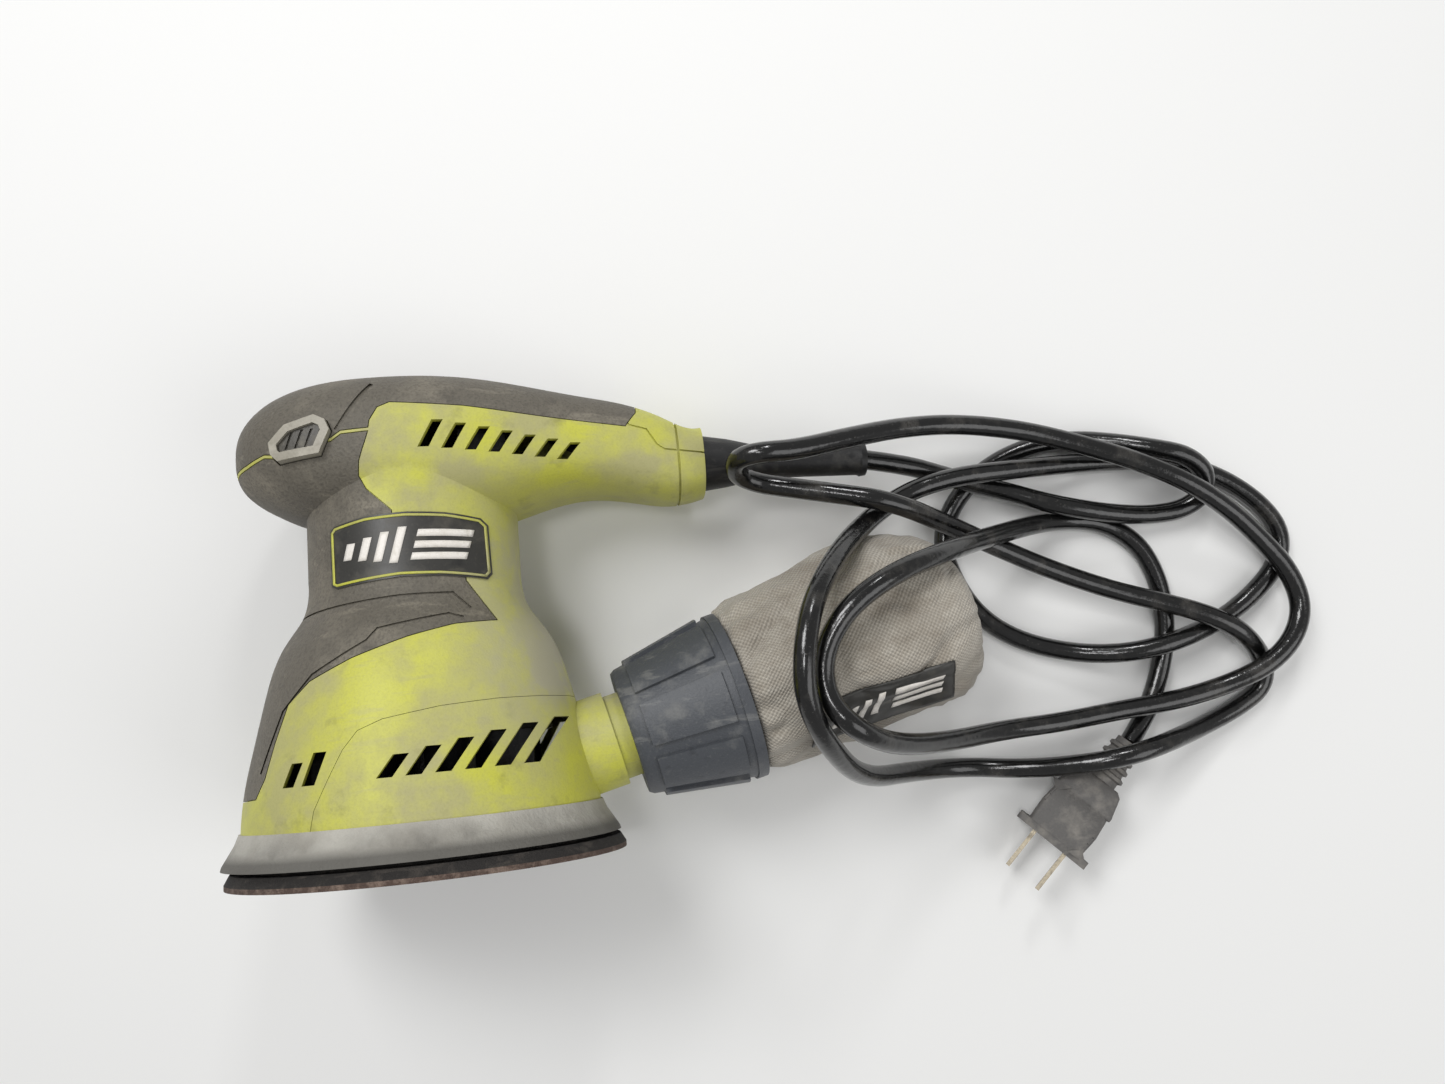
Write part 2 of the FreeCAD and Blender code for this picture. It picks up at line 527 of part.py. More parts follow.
# ---- fixed motor pieces -------------------------------------------------------------------------------------

node("stator_core", ring("statorCore", "statorBore", "statorRadius", "coreBase", "coreTop"))
node("stator_windings", joined("statorWindings", [
    ring("fieldLow", "statorBore + 0.6", "statorRadius - 1.5", "coilBase", "coreBase"),
    ring("fieldHigh", "statorBore + 0.6", "statorRadius - 1.5", "coreTop", "coilTop")]))
bracket = Part.makeCylinder(46.6, 2.4, V(0, 0, 46)).fuse(Part.makeCylinder(18, 9.5, V(0, 0, size("lowBearBase"))))
bracket = bracket.cut(Part.makeCylinder(size("lowBearRadius"), 20, V(0, 0, 40)))
for i in range(6):
    window = Part.makeCylinder(5.5, 20, V(31, 0, 40))
    window.rotate(V(0, 0, 0), AXIS_Z, 60 * i + 30)
    bracket = bracket.cut(window)
shaped("bearing_bracket", bracket)
seat = Part.makeCylinder(14.5, 11, V(0, 0, size("topBearBase")))
seat = seat.fuse(Part.makeBox(9, 58, 4, V(-4.5, -29, size("topBearBase") + 5)))
seat = seat.cut(Part.makeCylinder(size("topBearRadius"), 8, V(0, 0, size("topBearBase"))))
shaped("bearing_seat", seat)

holders, brushes, springs = [], [], []
for side in (1, -1):
    low = 12.4 if side > 0 else -27.4
    holder = Part.makeBox(9, 15, 8, V(-4.5, low, 108.8))
    holders.append(holder.cut(Part.makeBox(6, 15, 5, V(-3, low, 110.3))))
    low = 11.06 if side > 0 else -20.06
    brushes.append(Part.makeBox(6, 9, 5, V(-3, low, 110.3)))
    low = 20.06 if side > 0 else -27.4
    springs.append(Part.makeCylinder(2.2, 7.34, V(0, low, 112.8), AXIS_Y))
shaped("brush_holders", Part.makeCompound(holders))
shaped("carbon_brushes", Part.makeCompound(brushes))
shaped("brush_springs", Part.makeCompound(springs))

# ---- switch: body, cross bar and its two faced ends ------------------------------------------------------------

node("switch_body", less("switchBody", block("switchCase", ("-14.9", "-11", "134"), ("7.1", "11", "151")),
                         block("switchSlot", ("-13", "-3", "138"), ("-9", "3", "144"))))
node("capacitor", less("capacitorBody", block("capacitorCase", ("16.6", "-9", "126"), ("32.1", "9", "140")),
                       block("capacitorNotch", ("16.6", "-9", "126"), ("19.6", "9", "129"))))
proudForm = bodyForm(-size("buttonProud"))
dishForm = bodyForm(-size("buttonProud") + 1.2)
hexOuter = inward(BUTTON, size("buttonGap"))
hexInner = inward(BUTTON, size("buttonGap + buttonRim"))
barEnd = 27.0
sideSlab = {"left": Part.makeBox(400, 200, 400, V(-200, -200 - barEnd, -100)),
            "right": Part.makeBox(400, 200, 400, V(-200, barEnd, -100))}
for side, skin, dish in (("left", proudForm, dishForm), ("right", bodyForm(0.6), bodyForm(1.8))):
    rim = prism(hexOuter).cut(prism(hexInner)).common(skin).common(sideSlab[side])
    face = prism(hexInner).common(dish).common(sideSlab[side])
    ridges = []
    for i in range(4):
        x = -32.4 + 3.0 * i
        low, high = (-90.0, 0.0) if side == "left" else (0.0, 90.0)
        ridges.append(prism([(x, 129.0), (x + 0.9, 129.0), (x + 3.1, 134.6), (x + 2.2, 134.6)], low, high))
    deep = bodyForm((-size("buttonProud") if side == "left" else size("buttonTravel - buttonProud - buttonGap")) + 1.9)
    face = face.cut(ridges[0].multiFuse(ridges[1:]).cut(deep))
    shaped("button_rim_" + side, rim)
    shaped("button_face_" + side, face)
node("switch_bar", less("switchBar", block("barBlank", ("-32.9", "-27", "127.5"), ("-21.9", "27", "136")),
                        block("barPocket", ("-30.9", "-20", "129.5"), ("-21.9", "20", "134"))))

# ---- strain relief, cord clamp and the wiring in the handle ------------------------------------------------------

turned("strain_relief", [("0", "-11"), ("8", "-11"), ("8", "-7"), ("reliefBig - 0.2", "-7"),
                         ("reliefBig - 0.2", "-0.2"), ("reliefBig", "0.6"), ("reliefBig - 1.2", "9"),
                         ("reliefSlim + 1", "17"), ("reliefSlim", "22"), ("reliefSlim - 0.2", "reliefEnd - 3"),
                         ("reliefSlim + 0.3", "reliefEnd - 2"), ("reliefSlim", "reliefEnd"), ("0", "reliefEnd")],
       lying * reliefLine)


def tubeAlong(points, radius):
    """Straight runs joined by tangent arcs, each as large as its two runs allow; prints the radii."""
    spots = [V(*p) for p in points]
    edges, radii, start = [], [], spots[0]
    for before, corner, after in zip(spots, spots[1:], spots[2:]):
        into, out = (corner - before), (after - corner)
        run = min(into.Length, out.Length)
        into.normalize()
        out.normalize()
        turn = into.getAngle(out)
        reach = 0.45 * run
        bend = reach / math.tan(turn / 2)
        enter, leave = corner - into * reach, corner + out * reach
        halfway = corner + (out - into).normalize() * (bend / math.cos(turn / 2) - bend)
        edges.append(Part.makeLine(start, enter))
        edges.append(Part.Arc(enter, halfway, leave).toShape())
        radii.append(round(bend, 1))
        start = leave
    edges.append(Part.makeLine(start, spots[-1]))
    path = Part.Wire(edges)
    section = Part.Wire(Part.makeCircle(radius, spots[0], spots[1] - spots[0]))
    tube = path.makePipeShell([section], True, False)
    return tube, radii, path.Length


leads = []
for y in (-2.4, 2.4):
    tube, _, _ = tubeAlong([(62.1, y, 130), (54.1, y, 134), (42.1, y * 2, 141.5), (7.3, y * 2, 141.5)], 1.1)
    leads.append(tube)
shaped("switch_leads", Part.makeCompound(leads))
turned("cord_tail", [("0", "-34"), ("cordRadius", "-34"), ("cordRadius", "-11"), ("0", "-11")],
       lying * reliefLine)
clampBar = Part.makeBox(7, 20, 3.2, V(70, -10, 130.2))
clampFoot = [Part.makeCylinder(1.5, 6, V(73.5, y, 124.2)) for y in (-7.5, 7.5)]
shaped("cord_clamp", clampBar)
shaped("clamp_screws", Part.makeCompound(clampFoot))

# ---- dust bag: collar, clamp ring, cloth ---------------------------------------------------------------------

collarBody = doc.addObject("PartDesign::Body", "bag_collar")
collarSketch = profile(collarBody, "collarProfile", [
    ("portRadius + 0.3", "0"), ("collarMouth", "0"), ("collarMouth + 1", "1.5"), ("collarRear", "collarLength"),
    ("lipRadius", "collarLength"), ("lipRadius", "collarLength + lipLength"),
    ("collarRear - 2.6", "collarLength + lipLength"), ("collarRear - 5", "portEnd + 3"),
    ("portRadius + 0.3", "portEnd + 1")])
collarTurn = collarBody.newObject("PartDesign::Revolution", "collarTurn")
collarTurn.Profile = collarSketch
collarTurn.ReferenceAxis = (collarSketch, ["V_Axis"])
collarTurn.Angle = 360
padSketch = profile(collarBody, "gripProfile", [
    ("collarMouth - 1", "5"), ("collarMouth + 2.9", "5"), ("collarRear + 0.9", "collarLength - 3"),
    ("collarRear - 2.4", "collarLength - 3")])
doc.recompute()
gripPad = collarBody.newObject("PartDesign::Revolution", "gripPad")
gripPad.Profile = padSketch
gripPad.ReferenceAxis = (padSketch, ["V_Axis"])
gripPad.Angle = 34
gripPad.Midplane = True
doc.recompute()
gripRing = collarBody.newObject("PartDesign::PolarPattern", "gripRing")
gripRing.Originals = [gripPad]
gripRing.Axis = (padSketch, ["V_Axis"])
gripRing.Angle = 360
gripRing.Occurrences = 8
collarBody.Tip = gripRing
node("bag_collar", collarBody, lying * portLine)
turned("bag_ring", [("collarRear - 4.4", "collarLength + 0.4"), ("collarRear - 3", "collarLength + 0.4"),
                    ("collarRear - 2.8", "collarLength + lipLength"), ("collarRear - 4.4", "collarLength + lipLength")],
       lying * portLine)
# the sack's round sections: place after its mouth, radius, how far its middle sags towards the handle's side
BAG_SECTIONS = ((0.0, 29.8, 1.2), (6.3, 30.6, 1.8), (16.3, 31.2, 2.4), (27.3, 31.8, 3.2), (39.3, 33.0, 4.4),
                (52.3, 33.6, 4.8), (64.3, 32.6, 3.8), (72.3, 30.4, 2.9), (77.8, 27.0, 2.2), (81.3, 22.0, 1.6),
                (83.7, 14.0, 1.2))
bagWires = [Part.Wire(Part.makeCircle(radius, V(-lift, 0, size("bagStart") + along), AXIS_Z))
            for along, radius, lift in BAG_SECTIONS]
overBench = Part.makeBox(400, 400, 200, V(-100, -200, 0.3))
overBench.Placement = (lying * portLine).inverse()
shaped("dust_bag", Part.makeLoft(bagWires, True, False).common(overBench), lying * portLine)

# ---- power cord and plug ------------------------------------------------------------------------------------

# the cord's route from the strain relief to the plug, as it lies: along the bench, over the bag, through a
# tight fold over the strain relief and back, crossing itself on low humps
CORD_ROUTE = [
    (106.6, 41.2, 17.0), (119.5, 36.6, 13.0), (132.2, 31.9, 11.0), (144.4, 27.8, 11.5), (156.4, 22.9, 13.5),
    (171.2, 18.6, 13.5), (185.9, 15.8, 10.0), (196.8, 14.8, 8.0), (207.5, 15.6, 8.0), (215.7, 20.4, 8.0),
    (215.9, 28.3, 11.5), (208.4, 35.2, 14.3), (196.8, 38.6, 14.3), (183.9, 42.3, 9.8), (169.6, 45.3, 3.7),
    (153.5, 43.9, 3.7), (138.5, 38.0, 3.7), (126.0, 27.3, 3.7), (119.1, 13.2, 3.7), (122.7, -2.7, 3.7),
    (131.0, -16.9, 3.7), (144.7, -27.0, 4.0), (164.2, -33.3, 5.0), (182.1, -34.3, 11.4), (200.4, -31.3, 11.8),
    (218.9, -25.9, 5.5), (232.4, -17.7, 3.7), (242.7, -6.9, 3.7), (244.2, 5.2, 3.7), (236.4, 16.7, 3.7),
    (223.3, 26.8, 3.7), (206.2, 34.0, 3.8), (187.4, 35.8, 5.0), (164.6, 36.1, 10.0), (142.0, 35.7, 17.0),
    (121.4, 34.9, 21.0), (104.0, 30.8, 23.0), (88.8, 22.6, 36.5), (75.1, 12.8, 61.0), (64.8, 0.0, 78.0),
    (60.3, -14.2, 84.0), (59.2, -29.1, 84.0), (65.4, -45.3, 73.0), (77.5, -62.5, 47.0), (99.1, -68.0, 17.0),
    (119.4, -70.6, 5.5), (140.1, -72.6, 9.5), (157.0, -71.0, 18.5), (170.8, -69.0, 23.5), (184.9, -66.6, 22.0),
    (205.5, -64.0, 9.0), (222.5, -58.6, 4.2), (232.7, -51.8, 4.0), (232.7, -41.2, 6.0), (221.8, -29.2, 14.5),
    (208.8, -21.8, 14.5), (194.1, -16.5, 13.0), (176.5, -10.5, 13.0), (155.1, -1.1, 15.0), (136.3, 8.6, 19.0),
    (118.7, 18.1, 26.0), (96.9, 28.2, 42.0), (78.4, 32.6, 40.0), (62.6, 36.2, 39.0), (53.0, 38.5, 38.5),
    (45.8, 41.9, 43.0), (46.1, 46.3, 52.0), (53.3, 47.5, 57.0), (66.1, 47.5, 53.0), (82.9, 50.3, 45.0),
    (102.6, 53.1, 34.0), (123.9, 53.3, 26.0), (147.6, 49.4, 21.0), (169.4, 42.1, 19.5), (188.9, 34.1, 20.5),
    (206.0, 25.1, 20.5), (221.2, 13.7, 17.0), (232.8, 2.2, 13.0), (241.9, -9.6, 12.0), (245.7, -23.0, 12.0),
    (240.2, -34.6, 14.3), (228.6, -43.5, 15.5), (212.6, -49.4, 13.0), (194.8, -52.3, 14.8), (176.3, -53.7, 15.0),
    (153.2, -55.5, 18.0), (129.4, -55.0, 25.0), (106.5, -53.6, 44.0), (87.0, -48.8, 65.0), (73.8, -40.3, 79.0),
    (66.8, -31.7, 76.0), (65.7, -21.1, 75.0), (69.4, -11.3, 75.0), (77.4, -2.0, 75.0), (91.4, 5.6, 71.5),
    (110.6, 10.2, 56.5), (135.8, 13.6, 26.0), (158.9, 16.3, 8.0), (177.6, 14.6, 4.0), (191.0, 5.9, 3.7),
    (197.4, -7.7, 3.7), (199.2, -24.2, 3.6), (196.3, -39.5, 4.0), (190.1, -52.9, 6.2), (184.3, -60.2, 9.2),
    (178.7, -66.4, 11.4)]
cordExit = (lying * reliefLine).multVec(V(0, 0, size("reliefEnd")))
cordTube, cordRadii, cordLength = tubeAlong([tuple(cordExit)] + CORD_ROUTE, size("cordRadius"))
asLaid = FreeCAD.Placement()
shaped("power_cord", cordTube, asLaid)
print("cord exit", [round(c, 2) for c in cordExit])
print("cord radii", cordRadii)
print("cord length %.1f, volume %.0f, section x length %.0f" % (
    cordLength, cordTube.Volume, math.pi * size("cordRadius") ** 2 * cordLength))

plugLine = FreeCAD.Placement(V(*CORD_ROUTE[-1]), FreeCAD.Rotation(AXIS_Z, size("plugHeading"))
                             * FreeCAD.Rotation(AXIS_Y, 90) * FreeCAD.Rotation(AXIS_Z, size("plugRoll")))
RIBS = 4
ribPitch = (size("plugSleeve") - 3) / RIBS
sleeve = [("0", "0"), ("cordRadius + 0.9", "0")]
for i in range(RIBS):
    foot = 2 + i * ribPitch
    sleeve += [("cordRadius + %.2f" % (0.9 + 0.45 * i), "%.2f" % foot),
               ("cordRadius + %.2f" % (1.9 + 0.5 * i), "%.2f" % (foot + 0.6)),
               ("cordRadius + %.2f" % (2.0 + 0.5 * i), "%.2f" % (foot + ribPitch - 1.8)),
               ("cordRadius + %.2f" % (1.0 + 0.45 * i), "%.2f" % (foot + ribPitch - 1.2))]
sleeve += [("cordRadius + 2.4", "plugSleeve"), ("0", "plugSleeve")]
turned("plug_relief", sleeve, plugLine)
half = size("plugShoulder") / 2
flange = size("plugFlange") / 2
thick = size("plugThick") / 2
start, end = size("plugSleeve"), size("plugBase")


def plugSlab(side, turn):
    """The plug's outline (place along it, reach to each side), drawn right through and turned about its axis."""
    outline = [V(0, reach, along) for along, reach in side] + [V(0, -reach, along) for along, reach in reversed(side)]
    face = Part.Face(Part.makePolygon(outline + [outline[0]]))
    face.translate(V(-40, 0, 0))
    slab = face.extrude(V(80, 0, 0))
    slab.rotate(V(0, 0, 0), AXIS_Z, turn)
    return slab


wideSlab = plugSlab([(start, half - 3.4), (start + 1.4, half - 1.6), (start + 7.6, half), (start + 9, half + 0.4),
                     (start + 10.2, half + 0.4), (start + 10.4, half - 0.4), (start + 18, half + 0.6),
                     (end - 2.8, half), (end - 2.8, flange), (end, flange)], 0)
deepSlab = plugSlab([(start, thick - 2), (start + 1.4, thick - 0.9), (start + 7.6, thick - 0.5),
                     (start + 9, thick - 0.2), (start + 10.2, thick - 0.2), (start + 10.4, thick - 0.6),
                     (end - 2.8, thick - 0.6), (end - 2.8, thick), (end, thick)], 90)
plugBody = wideSlab.common(deepSlab)
blades = []
for y in (-1, 1):
    spot = V(-size("bladeWide") / 2, y * size("bladeSpacing") / 2 - size("bladeThick") / 2, end)
    blade = Part.makeBox(size("bladeWide"), size("bladeThick"), size("bladeLength"), spot)
    hole = Part.makeCylinder(1.6, 10, V(0, spot.y - 4, end + size("bladeLength") - 5), AXIS_Y)
    blades.append(blade.cut(hole))
shaped("plug_body", plugBody, plugLine)
shaped("plug_blades", Part.makeCompound(blades), plugLine)

# ---- checks and export ----------------------------------------------------------------------------------------

doc.recompute()
failed = [thing.Label for thing in doc.Objects if "Invalid" in thing.State or "Error" in thing.State]
for thing in nodes:
    if thing.Shape.isNull() or not thing.Shape.isValid():
        failed.append(thing.Label + " (shape)")
if failed:
    raise SystemExit("failed: " + ", ".join(failed))
for thing in nodes:
    thing.Shape.exportStep("parts/%s.step" % thing.Label)
    box = thing.Shape.BoundBox
    print("%-22s %8.0f mm3  solids %2d  z %6.1f..%6.1f" % (thing.Label, thing.Shape.Volume,
                                                        len(thing.Shape.Solids), box.ZMin, box.ZMax))
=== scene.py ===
import json
import math

import bmesh
import bpy
from mathutils import Matrix, Vector, noise
from mathutils.bvhtree import BVHTree


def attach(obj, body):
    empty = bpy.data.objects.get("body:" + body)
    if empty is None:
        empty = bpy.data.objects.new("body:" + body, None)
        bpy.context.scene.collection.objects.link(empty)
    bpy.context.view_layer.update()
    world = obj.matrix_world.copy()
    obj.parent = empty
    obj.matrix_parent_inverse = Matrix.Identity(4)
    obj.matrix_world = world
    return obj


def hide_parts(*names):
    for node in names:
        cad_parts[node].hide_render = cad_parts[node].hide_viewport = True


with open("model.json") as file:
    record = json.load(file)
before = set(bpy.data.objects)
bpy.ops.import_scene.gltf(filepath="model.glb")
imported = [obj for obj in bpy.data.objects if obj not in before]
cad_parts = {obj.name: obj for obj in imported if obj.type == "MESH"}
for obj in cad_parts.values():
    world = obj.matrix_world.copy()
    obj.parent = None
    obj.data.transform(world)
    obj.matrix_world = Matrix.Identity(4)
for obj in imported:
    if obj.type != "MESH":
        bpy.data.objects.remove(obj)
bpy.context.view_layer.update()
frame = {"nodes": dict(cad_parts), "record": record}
cadNodes = frame["nodes"]
scene = bpy.context.scene
print("frame loaded:", len(cadNodes), "nodes")

# how the tool lies: its own upright axes (x to the rear, z up the motor) taken to the bench
lying = {"place": (-0.06294, -0.0733, 0.06105), "pitch": -10.5, "roll": 7.0}
toolToBench = (Matrix.Translation(lying["place"]) @ Matrix.Rotation(math.radians(lying["pitch"]), 4, "X")
               @ Matrix.Rotation(math.radians(lying["roll"]), 4, "Y")
               @ Matrix.Rotation(math.radians(-90), 4, "X"))
port = {"place": (0.0661, 0.0, 0.0355), "tilt": 14.2}
portToBench = (toolToBench @ Matrix.Translation(port["place"])
               @ Matrix.Rotation(math.radians(90 - port["tilt"]), 4, "Y"))

# a camera straight above, a pale floor and four soft lamps
cameraView = {"place": (0.03927, 0.01991, 0.418), "turn": -5.5, "lens": 28.0, "sensor": 36.0}
lens = bpy.data.cameras.new("camera")
lens.lens = cameraView["lens"]
lens.sensor_width = cameraView["sensor"]
camera = bpy.data.objects.new("camera", lens)
camera.location = cameraView["place"]
camera.rotation_euler = (0, 0, math.radians(cameraView["turn"]))
scene.collection.objects.link(camera)
scene.camera = camera

floorSheet = {"size": 6.0, "colour": (0.86, 0.86, 0.85, 1), "roughness": 0.9}
floorMesh = bmesh.new()
bmesh.ops.create_grid(floorMesh, x_segments=1, y_segments=1, size=floorSheet["size"] / 2)
floorData = bpy.data.meshes.new("floor")
floorMesh.to_mesh(floorData)
floorMesh.free()
floor = bpy.data.objects.new("floor", floorData)
scene.collection.objects.link(floor)
floorFinish = bpy.data.materials.new("floorPaper")
floorFinish.use_nodes = True
floorFinish.node_tree.nodes["Principled BSDF"].inputs["Base Color"].default_value = floorSheet["colour"]
floorFinish.node_tree.nodes["Principled BSDF"].inputs["Roughness"].default_value = floorSheet["roughness"]
floorData.materials.append(floorFinish)

lamps = {  # place, what it points at, size, watts
    "key": ((-0.35, 0.55, 0.95), (0.04, 0.0, 0.03), 0.42, 5.6),
    "fill": ((0.75, -0.35, 0.80), (0.08, 0.0, 0.03), 0.70, 2.9),
    "strip": ((0.20, 0.75, 0.55), (0.12, 0.0, 0.02), 0.13, 1.3),
    "above": ((-0.10, 0.12, 1.20), (0.06, 0.0, 0.02), 0.20, 1.8),
}
for lampName, (place, target, width, watts) in lamps.items():
    lamp = bpy.data.lights.new(lampName, "AREA")
    lamp.shape = "SQUARE"
    lamp.size = width
    lamp.energy = watts
    lampObject = bpy.data.objects.new(lampName, lamp)
    lampObject.location = place
    lampObject.rotation_euler = (Vector(target) - Vector(place)).to_track_quat("-Z", "Y").to_euler()
    scene.collection.objects.link(lampObject)
sky = bpy.data.worlds.new("softRoom")
sky.use_nodes = True
sky.node_tree.nodes["Background"].inputs["Color"].default_value = (1.0, 1.0, 1.0, 1)
sky.node_tree.nodes["Background"].inputs["Strength"].default_value = 0.36
scene.world = sky
scene.view_settings.view_transform = "Standard"
print("camera, floor and lights placed")


# screen colour, 0 to 255, as the linear values a shader wants
def paint(red, green, blue):
    linear = [((v / 255 + 0.055) / 1.055) ** 2.4 if v > 10 else v / 255 / 12.92 for v in (red, green, blue)]
    return (*linear, 1.0)


# a new material with its shader, and the piece's place in the tool's own upright axes
def startFinish(name, roughness, metallic=0.0, where=toolToBench):
    finish = bpy.data.materials.new(name)
    finish.use_nodes = True
    tree = finish.node_tree
    shader = tree.nodes["Principled BSDF"]
    shader.inputs["Roughness"].default_value = roughness
    shader.inputs["Metallic"].default_value = metallic
    coordinate = tree.nodes.new("ShaderNodeTexCoord")
    mapping = tree.nodes.new("ShaderNodeMapping")
    mapping.vector_type = "TEXTURE"
    mapping.inputs["Location"].default_value = where.to_translation()
    mapping.inputs["Rotation"].default_value = where.to_euler()
    tree.links.new(coordinate.outputs["Object"], mapping.inputs["Vector"])
    return finish, tree, shader, mapping.outputs["Vector"]


# a soft blotch mask, 0 to 1, with blotches about size metres across
def cloud(tree, spot, size, low=0.4, high=0.6, detail=4.0, stretch=(1, 1, 1), shift=0.0):
    if stretch != (1, 1, 1) or shift:
        pull = tree.nodes.new("ShaderNodeMapping")
        pull.inputs["Scale"].default_value = stretch
        pull.inputs["Location"].default_value = (shift, shift, shift)
        tree.links.new(spot, pull.inputs["Vector"])
        spot = pull.outputs["Vector"]
    texture = tree.nodes.new("ShaderNodeTexNoise")
    texture.inputs["Scale"].default_value = 1 / size
    texture.inputs["Detail"].default_value = detail
    texture.inputs["Roughness"].default_value = 0.6
    tree.links.new(spot, texture.inputs["Vector"])
    return ramp(tree, texture.outputs["Fac"], low, high)


def ramp(tree, value, low, high, bottom=0.0, top=1.0):
    stretch = tree.nodes.new("ShaderNodeMapRange")
    for socket, number in zip(stretch.inputs[1:5], (low, high, bottom, top)):
        socket.default_value = number
    tree.links.new(value, stretch.inputs[0])
    return stretch.outputs[0]


def combine(tree, operation, first, second):
    sums = tree.nodes.new("ShaderNodeMath")
    sums.operation = operation
    for socket, value in zip(sums.inputs, (first, second)):
        if isinstance(value, (int, float)):
            socket.default_value = value
        else:
            tree.links.new(value, socket)
    return sums.outputs[0]


def blendColour(tree, factor, first, second):
    mix = tree.nodes.new("ShaderNodeMix")
    mix.data_type = "RGBA"
    tree.links.new(factor, mix.inputs[0])
    for socket, colour in ((mix.inputs[6], first), (mix.inputs[7], second)):
        if isinstance(colour, tuple):
            socket.default_value = colour
        else:
            tree.links.new(colour, socket)
    return mix.outputs[2]


def facingUp(tree):
    normal = tree.nodes.new("ShaderNodeNewGeometry")
    split = tree.nodes.new("ShaderNodeSeparateXYZ")
    tree.links.new(normal.outputs["Normal"], split.inputs[0])
    return ramp(tree, split.outputs["Z"], 0.2, 1.0)


def axisOf(tree, spot, axis):
    split = tree.nodes.new("ShaderNodeSeparateXYZ")
    tree.links.new(spot, split.inputs[0])
    return split.outputs[axis]


def roughen(tree, shader, height, depth, strength=1.0):
    bump = tree.nodes.new("ShaderNodeBump")
    bump.inputs["Strength"].default_value = strength
    bump.inputs["Distance"].default_value = depth
    tree.links.new(height, bump.inputs["Height"])
    tree.links.new(bump.outputs["Normal"], shader.inputs["Normal"])


# moulded or rubbed stuff: dust in broad patches and specks, dark rubbed-in dirt, a fine grain
def wornFinish(name, clean, dusty, dark, roughness=(0.45, 0.7), dustSize=0.03, grainSize=0.0007,
               grainDepth=0.00006, dustAmount=0.5, scuffs=0.35, grainShade=0.12, metallic=0.0,
               where=toolToBench):
    finish, tree, shader, spot = startFinish(name, roughness[0], metallic, where)
    patches = cloud(tree, spot, dustSize, 0.62 - 0.3 * dustAmount, 0.85 - 0.3 * dustAmount, detail=6.0)
    specks = cloud(tree, spot, 0.0012, 0.58, 0.72, detail=3.0, shift=3.1)
    dust = combine(tree, "MAXIMUM", patches, combine(tree, "MULTIPLY", specks, 0.25))
    dust = combine(tree, "MULTIPLY", dust, ramp(tree, facingUp(tree), 0.0, 1.0, 0.35, 1.0))
    dirt = cloud(tree, spot, dustSize * 0.5, 0.60, 0.78, detail=8.0, shift=7.7)
    rubs = cloud(tree, spot, 0.006, 0.58, 0.66, detail=5.0, stretch=(0.18, 1.0, 1.6), shift=1.3)
    colour = blendColour(tree, dust, clean, dusty)
    colour = blendColour(tree, combine(tree, "MULTIPLY", dirt, 0.7), colour, dark)
    colour = blendColour(tree, combine(tree, "MULTIPLY", rubs, scuffs), colour, dusty)
    grain = cloud(tree, spot, grainSize, 0.2, 0.8, detail=2.0)
    colour = blendColour(tree, ramp(tree, grain, 0.45, 0.75, 0.0, grainShade), colour, dark)
    tree.links.new(colour, shader.inputs["Base Color"])
    tree.links.new(ramp(tree, dust, 0.0, 1.0, roughness[0], roughness[1]), shader.inputs["Roughness"])
    roughen(tree, shader, grain, grainDepth)
    return finish, tree, shader, spot


# the green shell is greyest behind the neck, over the chute
def shellFinish():
    finish, tree, shader, spot = wornFinish("greenShell", paint(192, 192, 74), paint(168, 164, 116),
                                            paint(120, 116, 66), dustAmount=0.74, dustSize=0.022,
                                            grainDepth=0.00004)
    colour = shader.inputs["Base Color"].links[0].from_socket
    height = axisOf(tree, spot, "Z")
    rear = combine(tree, "MULTIPLY", ramp(tree, axisOf(tree, spot, "X"), 0.006, 0.040),
                   combine(tree, "MULTIPLY", ramp(tree, height, 0.120, 0.098),
                           ramp(tree, height, 0.030, 0.052)))
    rear = combine(tree, "MULTIPLY", rear, cloud(tree, spot, 0.016, 0.30, 0.56, detail=6.0, shift=6.0))
    tree.links.new(blendColour(tree, rear, colour, paint(168, 164, 138)), shader.inputs["Base Color"])
    return finish


# pale dusty rubber, with black smears low down and darker towards its bottom rim
def skirtFinish():
    finish, tree, shader, spot = startFinish("skirtRubber", 0.7)
    height = axisOf(tree, spot, "Z")
    low = ramp(tree, height, 0.0185, 0.0080)
    smears = cloud(tree, spot, 0.012, 0.30, 0.66, detail=5.0, stretch=(0.8, 0.8, 0.7))
    # darker band all along the bottom rim, set by height alone
    rim = ramp(tree, height, 0.0125, 0.0078, 0.0, 0.85)
    black = combine(tree, "MAXIMUM",
                    combine(tree, "MULTIPLY", low, ramp(tree, smears, 0.0, 1.0, 0.25, 0.8)), rim)
    patches = cloud(tree, spot, 0.02, 0.38, 0.64, detail=6.0, shift=4.0)
    colour = blendColour(tree, patches, paint(188, 185, 176), paint(166, 162, 152))
    colour = blendColour(tree, black, colour, paint(66, 64, 60))
    tree.links.new(colour, shader.inputs["Base Color"])
    roughen(tree, shader, cloud(tree, spot, 0.0012, 0.3, 0.7), 0.00015)
    return finish


